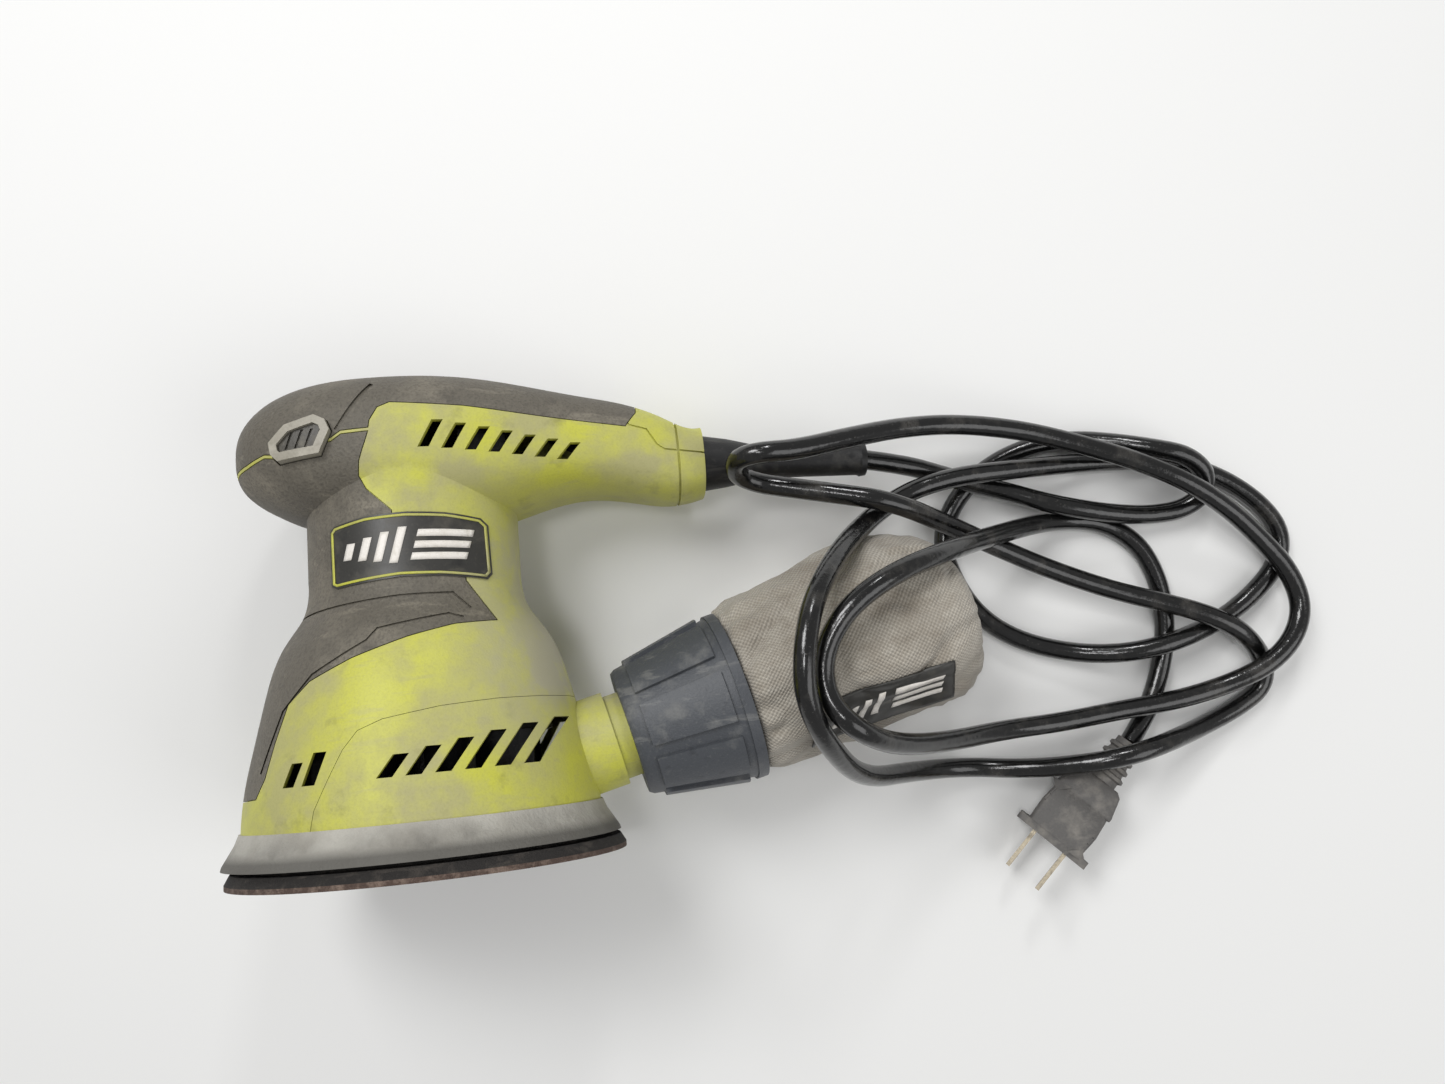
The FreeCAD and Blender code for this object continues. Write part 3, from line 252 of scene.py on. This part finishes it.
# glossy black sheath with a little rubbed dust on it
def cordFinish():
    finish, tree, shader, spot = startFinish("cordSheath", 0.2)
    dust = cloud(tree, spot, 0.012, 0.54, 0.74, detail=7.0)
    specks = cloud(tree, spot, 0.0009, 0.62, 0.74, detail=3.0, shift=2.0)
    dust = combine(tree, "MAXIMUM", combine(tree, "MULTIPLY", dust, 0.35),
                   combine(tree, "MULTIPLY", specks, 0.3))
    tree.links.new(blendColour(tree, dust, paint(15, 15, 15), paint(104, 100, 94)),
                   shader.inputs["Base Color"])
    tree.links.new(ramp(tree, dust, 0.0, 0.6, 0.16, 0.5), shader.inputs["Roughness"])
    shader.inputs["Coat Weight"].default_value = 0.35
    shader.inputs["Coat Roughness"].default_value = 0.10
    roughen(tree, shader, cloud(tree, spot, 0.003, 0.3, 0.7), 0.00008)
    return finish


# woven bag cloth: threads across each other, taupe with worn and stained patches
def clothFinish():
    finish, tree, shader, spot = startFinish("bagCloth", 0.92, where=portToBench)
    weave = {"around": 132.0, "pitch": 0.0015}
    turn = combine(tree, "ARCTAN2", axisOf(tree, spot, "Y"), axisOf(tree, spot, "X"))
    around = combine(tree, "SINE", combine(tree, "MULTIPLY", turn, weave["around"]), 0.0)
    along = combine(tree, "SINE", combine(tree, "MULTIPLY", axisOf(tree, spot, "Z"),
                                          2 * math.pi / weave["pitch"]), 0.0)
    threads = combine(tree, "MULTIPLY", around, along)
    slubs = cloud(tree, spot, 0.0022, 0.30, 0.70, detail=3.0, stretch=(1.0, 1.0, 0.35))
    stains = cloud(tree, spot, 0.022, 0.44, 0.66, detail=6.0, shift=5.0)
    pale = cloud(tree, spot, 0.014, 0.48, 0.68, detail=7.0, shift=9.0)
    colour = blendColour(tree, slubs, paint(174, 166, 153), paint(194, 188, 176))
    colour = blendColour(tree, combine(tree, "MULTIPLY", stains, 0.6), colour, paint(130, 120, 107))
    colour = blendColour(tree, combine(tree, "MULTIPLY", pale, 0.5), colour, paint(202, 197, 186))
    colour = blendColour(tree, ramp(tree, threads, -1.0, 1.0, 0.0, 0.52), colour, paint(92, 84, 72))
    tree.links.new(colour, shader.inputs["Base Color"])
    shader.inputs["Sheen Weight"].default_value = 0.2
    shader.inputs["Sheen Roughness"].default_value = 0.6
    roughen(tree, shader, combine(tree, "ADD", threads, slubs), 0.00018)
    return finish


finishes = {"green_shell": shellFinish(), "skirt_rubber": skirtFinish(), "cord_sheath": cordFinish(),
            "bag_cloth": clothFinish()}
recipes = {  # clean, dusty and dark colours, then what differs from the usual worn finish
    "grip_rubber": ((98, 93, 83), (146, 139, 124), (62, 58, 52),
                    {"roughness": (0.62, 0.85), "dustAmount": 0.42, "grainSize": 0.0009,
                     "grainDepth": 0.00016, "grainShade": 0.4}),
    "dark_plastic": ((48, 48, 49), (105, 100, 92), (22, 22, 22), {"dustAmount": 0.4}),
    "collar_plastic": ((72, 75, 80), (126, 126, 124), (40, 42, 45),
                       {"roughness": (0.46, 0.72), "dustAmount": 0.28, "dustSize": 0.012, "scuffs": 0.5}),
    "button_rim": ((154, 149, 136), (182, 177, 164), (112, 107, 95),
                   {"dustAmount": 0.4, "dustSize": 0.006}),
    "button_face": ((72, 69, 63), (118, 114, 104), (48, 46, 42), {"dustAmount": 0.45, "dustSize": 0.005}),
    "relief_rubber": ((19, 19, 20), (78, 76, 72), (12, 12, 12),
                      {"roughness": (0.5, 0.75), "dustAmount": 0.2, "dustSize": 0.010}),
    "plug_plastic": ((90, 88, 86), (134, 130, 124), (56, 55, 54),
                     {"roughness": (0.6, 0.85), "dustAmount": 0.55, "dustSize": 0.008}),
    "label_film": ((52, 51, 48), (92, 88, 78), (28, 28, 28),
                   {"roughness": (0.40, 0.65), "dustAmount": 0.35, "dustSize": 0.012,
                    "grainDepth": 0.00001}),
    "motif_print": ((232, 227, 220), (206, 200, 188), (172, 166, 154),
                    {"roughness": (0.45, 0.6), "dustAmount": 0.35, "dustSize": 0.006,
                     "grainDepth": 0.00001}),
    "foam": ((38, 35, 33), (92, 85, 78), (16, 15, 15),
             {"roughness": (0.85, 0.95), "dustAmount": 0.3, "dustSize": 0.006, "grainSize": 0.0005,
              "grainDepth": 0.0003}),
    "hook_fibre": ((84, 68, 60), (136, 118, 106), (44, 33, 29),
                   {"roughness": (0.9, 0.95), "dustAmount": 0.5, "dustSize": 0.003, "grainSize": 0.0006,
                    "grainDepth": 0.0005}),
    "carbon": ((44, 44, 46), (70, 69, 68), (26, 26, 28), {"dustAmount": 0.2}),
    "steel": ((176, 176, 178), (150, 146, 138), (92, 90, 88),
              {"roughness": (0.28, 0.6), "metallic": 1.0, "dustAmount": 0.25, "dustSize": 0.006}),
    "laminations": ((108, 108, 114), (128, 124, 116), (60, 58, 58),
                    {"roughness": (0.45, 0.75), "metallic": 0.7, "dustAmount": 0.35, "dustSize": 0.006}),
    "copper": ((196, 122, 74), (150, 118, 92), (96, 54, 34),
               {"roughness": (0.32, 0.6), "metallic": 0.9, "dustAmount": 0.3, "dustSize": 0.006}),
    "aluminium": ((186, 187, 190), (160, 156, 148), (110, 110, 110),
                  {"roughness": (0.4, 0.7), "metallic": 1.0, "dustAmount": 0.35, "dustSize": 0.008}),
    "blade_metal": ((146, 138, 122), (134, 127, 114), (88, 80, 66),
                    {"roughness": (0.4, 0.62), "metallic": 1.0, "dustAmount": 0.3, "dustSize": 0.003}),
}
for slot, (clean, dusty, dark, more) in recipes.items():
    finishes[slot] = wornFinish(slot, paint(*clean), paint(*dusty), paint(*dark), **more)[0]
print("finishes mixed:", len(finishes))


def addPiece(name, mesh, body, finish):
    piece = bpy.data.objects.new(name, mesh)
    scene.collection.objects.link(piece)
    mesh.materials.clear()
    mesh.materials.append(finishes[finish])
    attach(piece, body)
    return piece


def meshFrom(shape, name, smooth=True):
    mesh = bpy.data.meshes.new(name)
    shape.to_mesh(mesh)
    shape.free()
    for face in mesh.polygons:
        face.use_smooth = smooth
    return mesh


skin = {"merge": 0.000002, "hardEdge": 32}  # metres, degrees


# shading stays sharp where two faces meet at more than the hard edge's angle
def splitEdges(thing):
    split = thing.modifiers.new("hardEdges", "EDGE_SPLIT")
    split.split_angle = math.radians(skin["hardEdge"])


# the thing's own surface as shown, for laying pieces on it
def surfaceTree(thing):
    return BVHTree.FromObject(thing, bpy.context.evaluated_depsgraph_get())


# every corner of the shape travels along direction until it meets the surface, then stands off by lift
def layOn(shape, tree, direction, lift):
    lost = []
    for corner in shape.verts:
        spot, normal, _, _ = tree.ray_cast(corner.co, direction)
        if spot is None:
            lost.append(corner)
        else:
            if normal.dot(direction) > 0:
                normal = -normal
            corner.co = spot + normal * lift
    if lost:
        bmesh.ops.delete(shape, geom=lost, context="VERTS")


# power cord: one smooth curve from the strain relief to the plug
cordLead = {"diameter": 0.007, "length": 1.861, "exit": (0.09195, 0.04415, 0.01994)}
cordRoute = [  # millimetres
    (106.6, 41.2, 17.0), (119.5, 36.6, 13.0), (132.2, 31.9, 11.0), (144.4, 27.8, 11.5),
    (156.4, 22.9, 13.5), (171.2, 18.6, 13.5), (185.9, 15.8, 10.0), (196.8, 14.8, 8.0),
    (207.5, 15.6, 8.0), (215.7, 20.4, 8.0), (215.9, 28.3, 11.5), (208.4, 35.2, 14.3),
    (196.8, 38.6, 14.3), (183.9, 42.3, 9.8), (169.6, 45.3, 3.7), (153.5, 43.9, 3.7),
    (138.5, 38.0, 3.7), (126.0, 27.3, 3.7), (119.1, 13.2, 3.7), (122.7, -2.7, 3.7),
    (131.0, -16.9, 3.7), (144.7, -27.0, 4.0), (164.2, -33.3, 5.0), (182.1, -34.3, 11.4),
    (200.4, -31.3, 11.8), (218.9, -25.9, 5.5), (232.4, -17.7, 3.7), (242.7, -6.9, 3.7),
    (244.2, 5.2, 3.7), (236.4, 16.7, 3.7), (223.3, 26.8, 3.7), (206.2, 34.0, 3.8),
    (187.4, 35.8, 5.0), (164.6, 36.1, 10.0), (142.0, 35.7, 17.0), (121.4, 34.9, 21.0),
    (104.0, 30.8, 23.0), (88.8, 22.6, 36.5), (75.1, 12.8, 61.0), (64.8, 0.0, 78.0),
    (60.3, -14.2, 84.0), (59.2, -29.1, 84.0), (65.4, -45.3, 73.0), (77.5, -62.5, 47.0),
    (99.1, -68.0, 17.0), (119.4, -70.6, 5.5), (140.1, -72.6, 9.5), (157.0, -71.0, 18.5),
    (170.8, -69.0, 23.5), (184.9, -66.6, 22.0), (205.5, -64.0, 9.0), (222.5, -58.6, 4.2),
    (232.7, -51.8, 4.0), (232.7, -41.2, 6.0), (221.8, -29.2, 14.5), (208.8, -21.8, 14.5),
    (194.1, -16.5, 13.0), (176.5, -10.5, 13.0), (155.1, -1.1, 15.0), (136.3, 8.6, 19.0),
    (118.7, 18.1, 26.0), (96.9, 28.2, 42.0), (78.4, 32.6, 40.0), (62.6, 36.2, 39.0),
    (53.0, 38.5, 38.5), (45.8, 41.9, 43.0), (46.1, 46.3, 52.0), (53.3, 47.5, 57.0),
    (66.1, 47.5, 53.0), (82.9, 50.3, 45.0), (102.6, 53.1, 34.0), (123.9, 53.3, 26.0),
    (147.6, 49.4, 21.0), (169.4, 42.1, 19.5), (188.9, 34.1, 20.5), (206.0, 25.1, 20.5),
    (221.2, 13.7, 17.0), (232.8, 2.2, 13.0), (241.9, -9.6, 12.0), (245.7, -23.0, 12.0),
    (240.2, -34.6, 14.3), (228.6, -43.5, 15.5), (212.6, -49.4, 13.0), (194.8, -52.3, 14.8),
    (176.3, -53.7, 15.0), (153.2, -55.5, 18.0), (129.4, -55.0, 25.0), (106.5, -53.6, 44.0),
    (87.0, -48.8, 65.0), (73.8, -40.3, 79.0), (66.8, -31.7, 76.0), (65.7, -21.1, 75.0),
    (69.4, -11.3, 75.0), (77.4, -2.0, 75.0), (91.4, 5.6, 71.5), (110.6, 10.2, 56.5),
    (135.8, 13.6, 26.0), (158.9, 16.3, 8.0), (177.6, 14.6, 4.0), (191.0, 5.9, 3.7),
    (197.4, -7.7, 3.7), (199.2, -24.2, 3.6), (196.3, -39.5, 4.0), (190.1, -52.9, 6.2),
    (184.3, -60.2, 9.2), (178.7, -66.4, 11.4)
]
cordCurve = bpy.data.curves.new("powerCord", "CURVE")
cordCurve.dimensions = "3D"
cordSpline = cordCurve.splines.new("NURBS")
cordSpline.points.add(len(cordRoute))
for point, spot in zip(cordSpline.points, [[v * 1000 for v in cordLead["exit"]]] + cordRoute):
    point.co = (*[v / 1000 for v in spot], 1)
cordSpline.order_u = 3
cordSpline.use_endpoint_u = True
cordSpline.resolution_u = 8
cordCurve.bevel_depth = cordLead["diameter"] / 2
cordCurve.bevel_resolution = 5
cordCurve.use_fill_caps = True
cord = bpy.data.objects.new("cordSheath", cordCurve)
scene.collection.objects.link(cord)
cordCurve.materials.append(finishes["cord_sheath"])
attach(cord, "housing")
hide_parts("power_cord")

plugShape = {  # place along it, half its width, half its depth, in millimetres
    "heading": -134.0, "roll": 21.0, "corner": 0.0013,
    "rings": [(17.0, 7.5, 4.4), (18.4, 9.3, 5.5), (24.6, 10.9, 5.9), (26.0, 11.3, 6.2),
              (27.2, 11.3, 6.2), (27.5, 10.4, 5.7), (35.0, 11.3, 5.8), (43.1, 10.8, 5.8),
              (43.2, 14.3, 6.4), (46.0, 14.3, 6.4)],
    "panel": (0.0015, -0.0006), "panelRange": (0.0275, 0.0432), "rib": (0.0007, 0.0010, 0.0128),
}
plugToBench = (Matrix.Translation([v / 1000 for v in cordRoute[-1]])
               @ Matrix.Rotation(math.radians(plugShape["heading"]), 4, "Z")
               @ Matrix.Rotation(math.radians(90), 4, "Y")
               @ Matrix.Rotation(math.radians(plugShape["roll"]), 4, "Z"))


# shoulder, raised ring, barrel with a sunken panel on each broad face, and the flange behind the blades
def makePlugBody():
    shape = bmesh.new()
    rings = []
    for along, across, deep in plugShape["rings"]:
        ring = [shape.verts.new((x * deep / 1000, y * across / 1000, along / 1000))
                for x, y in ((-1, -1), (1, -1), (1, 1), (-1, 1))]
        rings.append([shape.edges.new((ring[i], ring[(i + 1) % 4])) for i in range(4)])
    for first, second in zip(rings, rings[1:]):
        bmesh.ops.bridge_loops(shape, edges=first + second)
    bmesh.ops.contextual_create(shape, geom=rings[0])
    bmesh.ops.contextual_create(shape, geom=rings[-1])
    bmesh.ops.recalc_face_normals(shape, faces=shape.faces)
    lengthways = [edge for edge in shape.edges if abs(edge.verts[0].co.z - edge.verts[1].co.z) > 1e-6]
    bmesh.ops.bevel(shape, geom=lengthways, offset=plugShape["corner"], offset_type="OFFSET", segments=3,
                    profile=0.5, affect="EDGES", material=-1, clamp_overlap=True)
    low, high = plugShape["panelRange"]
    for hand in (-1, 1):
        broad = [face for face in shape.faces if hand * face.normal.x > 0.9
                 and low - 1e-4 < min(v.co.z for v in face.verts)
                 and max(v.co.z for v in face.verts) < high]
        bmesh.ops.inset_region(shape, faces=broad, thickness=plugShape["panel"][0],
                               depth=plugShape["panel"][1], use_even_offset=True)
        tall, wide, long = plugShape["rib"]
        middle = Matrix.Translation((hand * (plugShape["rings"][6][2] / 1000 - tall / 2), 0,
                                     (low + high) / 2))
        bmesh.ops.create_cube(shape, size=1.0, matrix=middle @ Matrix.Diagonal((tall, wide, long, 1)))
    bmesh.ops.transform(shape, matrix=plugToBench, verts=shape.verts)
    return meshFrom(shape, "plugGrip")


plugGrip = addPiece("plugGrip", makePlugBody(), "housing", "plug_plastic")
splitEdges(plugGrip)
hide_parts("plug_body")
print("cord laid")

# CAD pieces: one skin, hard edges kept, and their finish
for part in frame["record"]["subparts"]:
    node = cadNodes[part["node"]]
    node.data.materials.clear()
    node.data.materials.append(finishes[part["material_slot"]])
    node.data.polygons.foreach_set("use_smooth", [True] * len(node.data.polygons))
    weld = node.modifiers.new("weld", "WELD")
    weld.merge_threshold = skin["merge"]
    splitEdges(node)
print("CAD pieces finished")

# label plates on the neck: a thin bright border and a plain stripe motif
labelPlate = {  # outline, stripes and bars in the tool's side view, millimetres
    "outline": [(-20.9, 87.4), (-21.1, 103.6), (-19.9, 104.9), (-9.9, 106.4), (2.1, 106.8), (14.1, 106.4),
                (23.7, 105.2), (25.5, 103.4), (25.9, 88.6), (24.7, 87.0), (12.1, 87.8), (0.1, 88.0),
                (-19.5, 86.6)],
    "border": 0.00075, "lift": 0.00008, "thick": 0.00018, "away": 0.06, "cuts": 7, "lean": 0.28,
    "stripes": [(-15.1, 96.6, 2.6, 5.0), (-10.1, 96.8, 2.6, 7.0), (-5.1, 97.0, 2.6, 9.0),
                (-0.1, 97.2, 2.6, 11.0)],
    "bars": [(13.7, 100.6, 16.0, 2.2), (12.7, 97.0, 16.0, 2.2), (11.7, 93.4, 16.0, 2.2)],
}


# a leaning bar in the tool's side view, cut fine enough to lie on a round neck
def slantedBar(shape, x, z, wide, tall, across, plane):
    lean = Matrix(((wide / 1000, labelPlate["lean"] * tall / 1000, 0, x / 1000),
                   (0, tall / 1000, 0, z / 1000), (0, 0, 1, across), (0, 0, 0, 1)))
    bmesh.ops.create_grid(shape, x_segments=max(2, int(wide * 1.2)), y_segments=max(2, int(tall)), size=0.5,
                          matrix=plane @ lean)


# in the side view x stays, up becomes z and depth becomes y
sideView = Matrix(((1, 0, 0, 0), (0, 0, 1, 0), (0, 1, 0, 0), (0, 0, 0, 1)))
for side, hand in (("left", -1), ("right", 1)):
    plateTree = surfaceTree(cadNodes["label_" + side])
    inwards = (toolToBench.to_3x3() @ Vector((0, -hand, 0))).normalized()
    away = hand * labelPlate["away"]
    border = bmesh.new()
    border.faces.new([border.verts.new((x / 1000, away, z / 1000)) for x, z in labelPlate["outline"]])
    bmesh.ops.subdivide_edges(border, edges=border.edges, cuts=labelPlate["cuts"])
    plateFace = max(border.faces, key=lambda face: face.calc_area())
    bmesh.ops.inset_region(border, faces=[plateFace], thickness=labelPlate["border"], use_boundary=True,
                           use_even_offset=True)
    bmesh.ops.delete(border, geom=[max(border.faces, key=lambda face: face.calc_area())],
                     context="FACES_ONLY")
    bmesh.ops.transform(border, matrix=toolToBench, verts=border.verts)
    layOn(border, plateTree, inwards, labelPlate["lift"])
    motif = bmesh.new()
    for x, z, wide, tall in labelPlate["stripes"] + labelPlate["bars"]:
        slantedBar(motif, x, z, wide, tall, away, toolToBench @ sideView)
    layOn(motif, plateTree, inwards, labelPlate["lift"])
    for shape, label, slot, finish in ((border, "labelBorder_", "green_shell", "green_shell"),
                                       (motif, "labelMotif_", "label_film", "motif_print")):
        bmesh.ops.recalc_face_normals(shape, faces=shape.faces)
        flipped = [face for face in shape.faces if face.normal.dot(inwards) > 0]
        bmesh.ops.reverse_faces(shape, faces=flipped)
        piece = addPiece(label + side, meshFrom(shape, label + side), "housing", finish)
        wall = piece.modifiers.new("thickness", "SOLIDIFY")
        wall.thickness = labelPlate["thick"]
        wall.offset = 1.0
print("labels printed")

# dust bag: a gathered cloth sack, blown slightly full
bagCut = {"start": 0.0387, "slim": 0.95, "short": 0.985, "steps": 64, "voxel": 0.0030, "mouth": 0.004,
          "inside": 0.0001, "tip": 0.0004, "bench": 0.0006}
bagCloth = {"pressure": 2.2, "spare": -0.06, "bending": 0.2, "pull": 20, "quality": 6, "frames": 20}
bagFolds = {"gathers": 12, "gather": 0.0028, "crease": 0.0020, "dent": 0.0046, "ripple": 0.0011}
bagLine = [  # millimetres: past the collar, radius, how far its middle sits above the port's line
    (0.0, 29.8, 1.2), (6.3, 30.6, 1.8), (16.3, 31.2, 2.4), (27.3, 31.8, 3.2),
    (39.3, 33.0, 4.4), (52.3, 33.6, 4.8), (64.3, 32.6, 3.8), (72.3, 30.4, 2.9),
    (77.8, 27.0, 2.2), (81.3, 22.0, 1.6), (83.7, 14.0, 1.2)
]
bagLong = bagLine[-1][0] / 1000
benchToPort = portToBench.inverted()


# the bag's radius and the rise of its middle at a place past the collar, in metres
def bagSection(along):
    for (a1, r1, l1), (a2, r2, l2) in zip(bagLine, bagLine[1:]):
        if along * 1000 <= a2:
            f = max(0.0, (along * 1000 - a1) / (a2 - a1))
            return (r1 + (r2 - r1) * f) / 1000, (l1 + (l2 - l1) * f) / 1000
    return bagLine[-1][1] / 1000, bagLine[-1][2] / 1000


# the sack before it is filled, spun from its side line, with both ends closed
def bagBlank():
    shape = bmesh.new()
    places = [(along / 1000 * bagCut["short"], radius / 1000 * bagCut["slim"])
              for along, radius, _ in bagLine]
    places = [(0.0, 0.0)] + places + [(places[-1][0], 0.0)]
    spots = [shape.verts.new((radius, 0, bagCut["start"] + along)) for along, radius in places]
    edges = [shape.edges.new(pair) for pair in zip(spots, spots[1:])]
    bmesh.ops.spin(shape, geom=spots + edges, cent=(0, 0, 0), axis=(0, 0, 1), angle=2 * math.pi,
                   steps=bagCut["steps"], use_merge=True)
    bmesh.ops.remove_doubles(shape, verts=shape.verts, dist=1e-5)
    bmesh.ops.recalc_face_normals(shape, faces=shape.faces)
    for corner in shape.verts:
        corner.co.x -= bagSection(corner.co.z - bagCut["start"])[1]
    bmesh.ops.transform(shape, matrix=portToBench, verts=shape.verts)
    return meshFrom(shape, "bagBlank")


# the thing's mesh as its modifiers leave it
def applied(thing, name):
    graph = bpy.context.evaluated_depsgraph_get()
    mesh = bpy.data.meshes.new_from_object(thing.evaluated_get(graph), depsgraph=graph)
    mesh.name = name
    return mesh


# cloth simulation: the mouth is held by the collar, spare cloth buckles into folds, light pressure inside
def fillBag(bag):
    held = bag.vertex_groups.new(name="mouth")
    for corner in bag.data.vertices:
        if (benchToPort @ corner.co).z - bagCut["start"] < bagCut["mouth"]:
            held.add([corner.index], 1.0, "REPLACE")
    cloth = bag.modifiers.new("cloth", "CLOTH")
    cloth.settings.vertex_group_mass = "mouth"
    cloth.settings.use_pressure = True
    cloth.settings.uniform_pressure_force = bagCloth["pressure"]
    cloth.settings.shrink_min = bagCloth["spare"]
    cloth.settings.bending_stiffness = bagCloth["bending"]
    cloth.settings.tension_stiffness = bagCloth["pull"]
    cloth.settings.compression_stiffness = bagCloth["pull"]
    cloth.settings.quality = bagCloth["quality"]
    cloth.settings.effector_weights.gravity = 0
    cloth.collision_settings.use_collision = False
    cloth.point_cache.frame_end = bagCloth["frames"]
    for step in range(1, bagCloth["frames"] + 1):
        scene.frame_set(step)
    filled = applied(bag, "bagFilled")
    bag.modifiers.remove(cloth)
    scene.frame_set(1)
    return filled


# how deep the cloth lies under its fullest line: gathers at the mouth, long creases, soft dents
def bagFold(turn, share):
    wander = noise.noise(Vector((math.cos(turn) * 1.5, math.sin(turn) * 1.5, 4.0)))
    gather = math.exp(-share * 4.5) * (0.5 + 0.5 * math.sin(turn * bagFolds["gathers"] + 4 * wander)) ** 1.5
    around = Vector((math.cos(turn) * 1.3 + share * 1.2, math.sin(turn) * 1.3, share * 2.6))
    crease = max(0.0, 1 - abs(noise.noise(around)) * 8)
    dent = max(0.0, noise.noise(around * 0.8 + Vector((5, 3, 8))))
    ripple = abs(noise.noise(around * 4))
    return (gather * bagFolds["gather"] + crease * bagFolds["crease"] + dent * bagFolds["dent"]
            + ripple * bagFolds["ripple"])


# keeps the cloth inside the bag's solid and off the bench, and works the folds in
def foldBag(mesh):
    for corner in mesh.vertices:
        spot = benchToPort @ corner.co
        along = min(max(spot.z - bagCut["start"], 0.0), bagLong - bagCut["tip"])
        radius, rise = bagSection(along)
        out = Vector((spot.x + rise, spot.y, 0))
        fold = bagFold(math.atan2(out.y, out.x), along / bagLong)
        full = radius - bagCut["inside"] - fold
        if out.length > 1e-6:
            out *= min(full, out.length - fold * 0.5) / out.length
        corner.co = portToBench @ Vector((out.x - rise, out.y, bagCut["start"] + along))
        corner.co.z = max(corner.co.z, bagCut["bench"])
    mesh.update()


bag = addPiece("bagSack", bagBlank(), "bag", "bag_cloth")
remesh = bag.modifiers.new("remesh", "REMESH")
remesh.mode = "VOXEL"
remesh.voxel_size = bagCut["voxel"]
bag.data = applied(bag, "bagEven")
bag.modifiers.clear()
bag.data = fillBag(bag)
bag.vertex_groups.clear()
finer = bag.modifiers.new("finer", "SUBSURF")
finer.levels = finer.render_levels = 1
bag.data = applied(bag, "bagFine")
bag.modifiers.clear()
foldBag(bag.data)
settle = bag.modifiers.new("settle", "SMOOTH")
settle.factor = 0.5
settle.iterations = 1
bag.data = applied(bag, "bagSack")
bag.modifiers.clear()
bag.data.materials.clear()
bag.data.materials.append(finishes["bag_cloth"])
for face in bag.data.polygons:
    face.use_smooth = True
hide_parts("dust_bag")
print("bag filled:", len(bag.data.polygons), "faces")

# patch sewn on the bag, with the same stripes
bagPatch = {"corners": [(66.6, -33.2), (109.2, -24.6), (110.6, -38.0), (61.6, -49.2)], "lift": 0.0004,
            "thick": 0.0005, "printThick": 0.0002, "fine": (40, 16), "above": 0.2}


# a place on the patch from its corners: u to the right, v down, each 0 to 1
def patchSpot(u, v):
    topLeft, topRight, lowRight, lowLeft = [Vector(corner) / 1000 for corner in bagPatch["corners"]]
    return topLeft.lerp(topRight, u).lerp(lowLeft.lerp(lowRight, u), v)


# boxes in u and v, laid on the bag from above
def patchPiece(name, boxes, lift, thick, finish):
    shape = bmesh.new()
    for u1, u2, v1, v2, lean in boxes:
        cells = [max(2, int(fine * share) + 1) for fine, share in zip(bagPatch["fine"], (u2 - u1, v2 - v1))]
        grid = bmesh.ops.create_grid(shape, x_segments=cells[0], y_segments=cells[1], size=0.5)["verts"]
        for corner in grid:
            u = (u1 + u2) / 2 + corner.co.x * (u2 - u1) - corner.co.y * lean
            v = (v1 + v2) / 2 + corner.co.y * (v2 - v1)
            flat = patchSpot(u, v)
            corner.co = (flat.x, flat.y, bagPatch["above"])
    layOn(shape, surfaceTree(bag), Vector((0, 0, -1)), lift)
    bmesh.ops.recalc_face_normals(shape, faces=shape.faces)
    bmesh.ops.reverse_faces(shape, faces=[face for face in shape.faces if face.normal.z < 0])
    piece = addPiece(name, meshFrom(shape, name), "bag", finish)
    wall = piece.modifiers.new("thickness", "SOLIDIFY")
    wall.thickness = thick
    wall.offset = 1.0
    return piece


patchPiece("bagPatch", [(0, 1, 0, 1, 0)], bagPatch["lift"], bagPatch["thick"], "label_film")
patchPiece("bagPatchMotif",
           [(0.12 + 0.10 * i, 0.17 + 0.10 * i, 0.42 - 0.06 * i, 0.74, 0.03) for i in range(4)]
           + [(0.56, 0.92, 0.24 + 0.19 * i, 0.35 + 0.19 * i, 0.01) for i in range(3)],
           bagPatch["lift"] + bagPatch["thick"], bagPatch["printThick"], "motif_print")
print("patch sewn on")
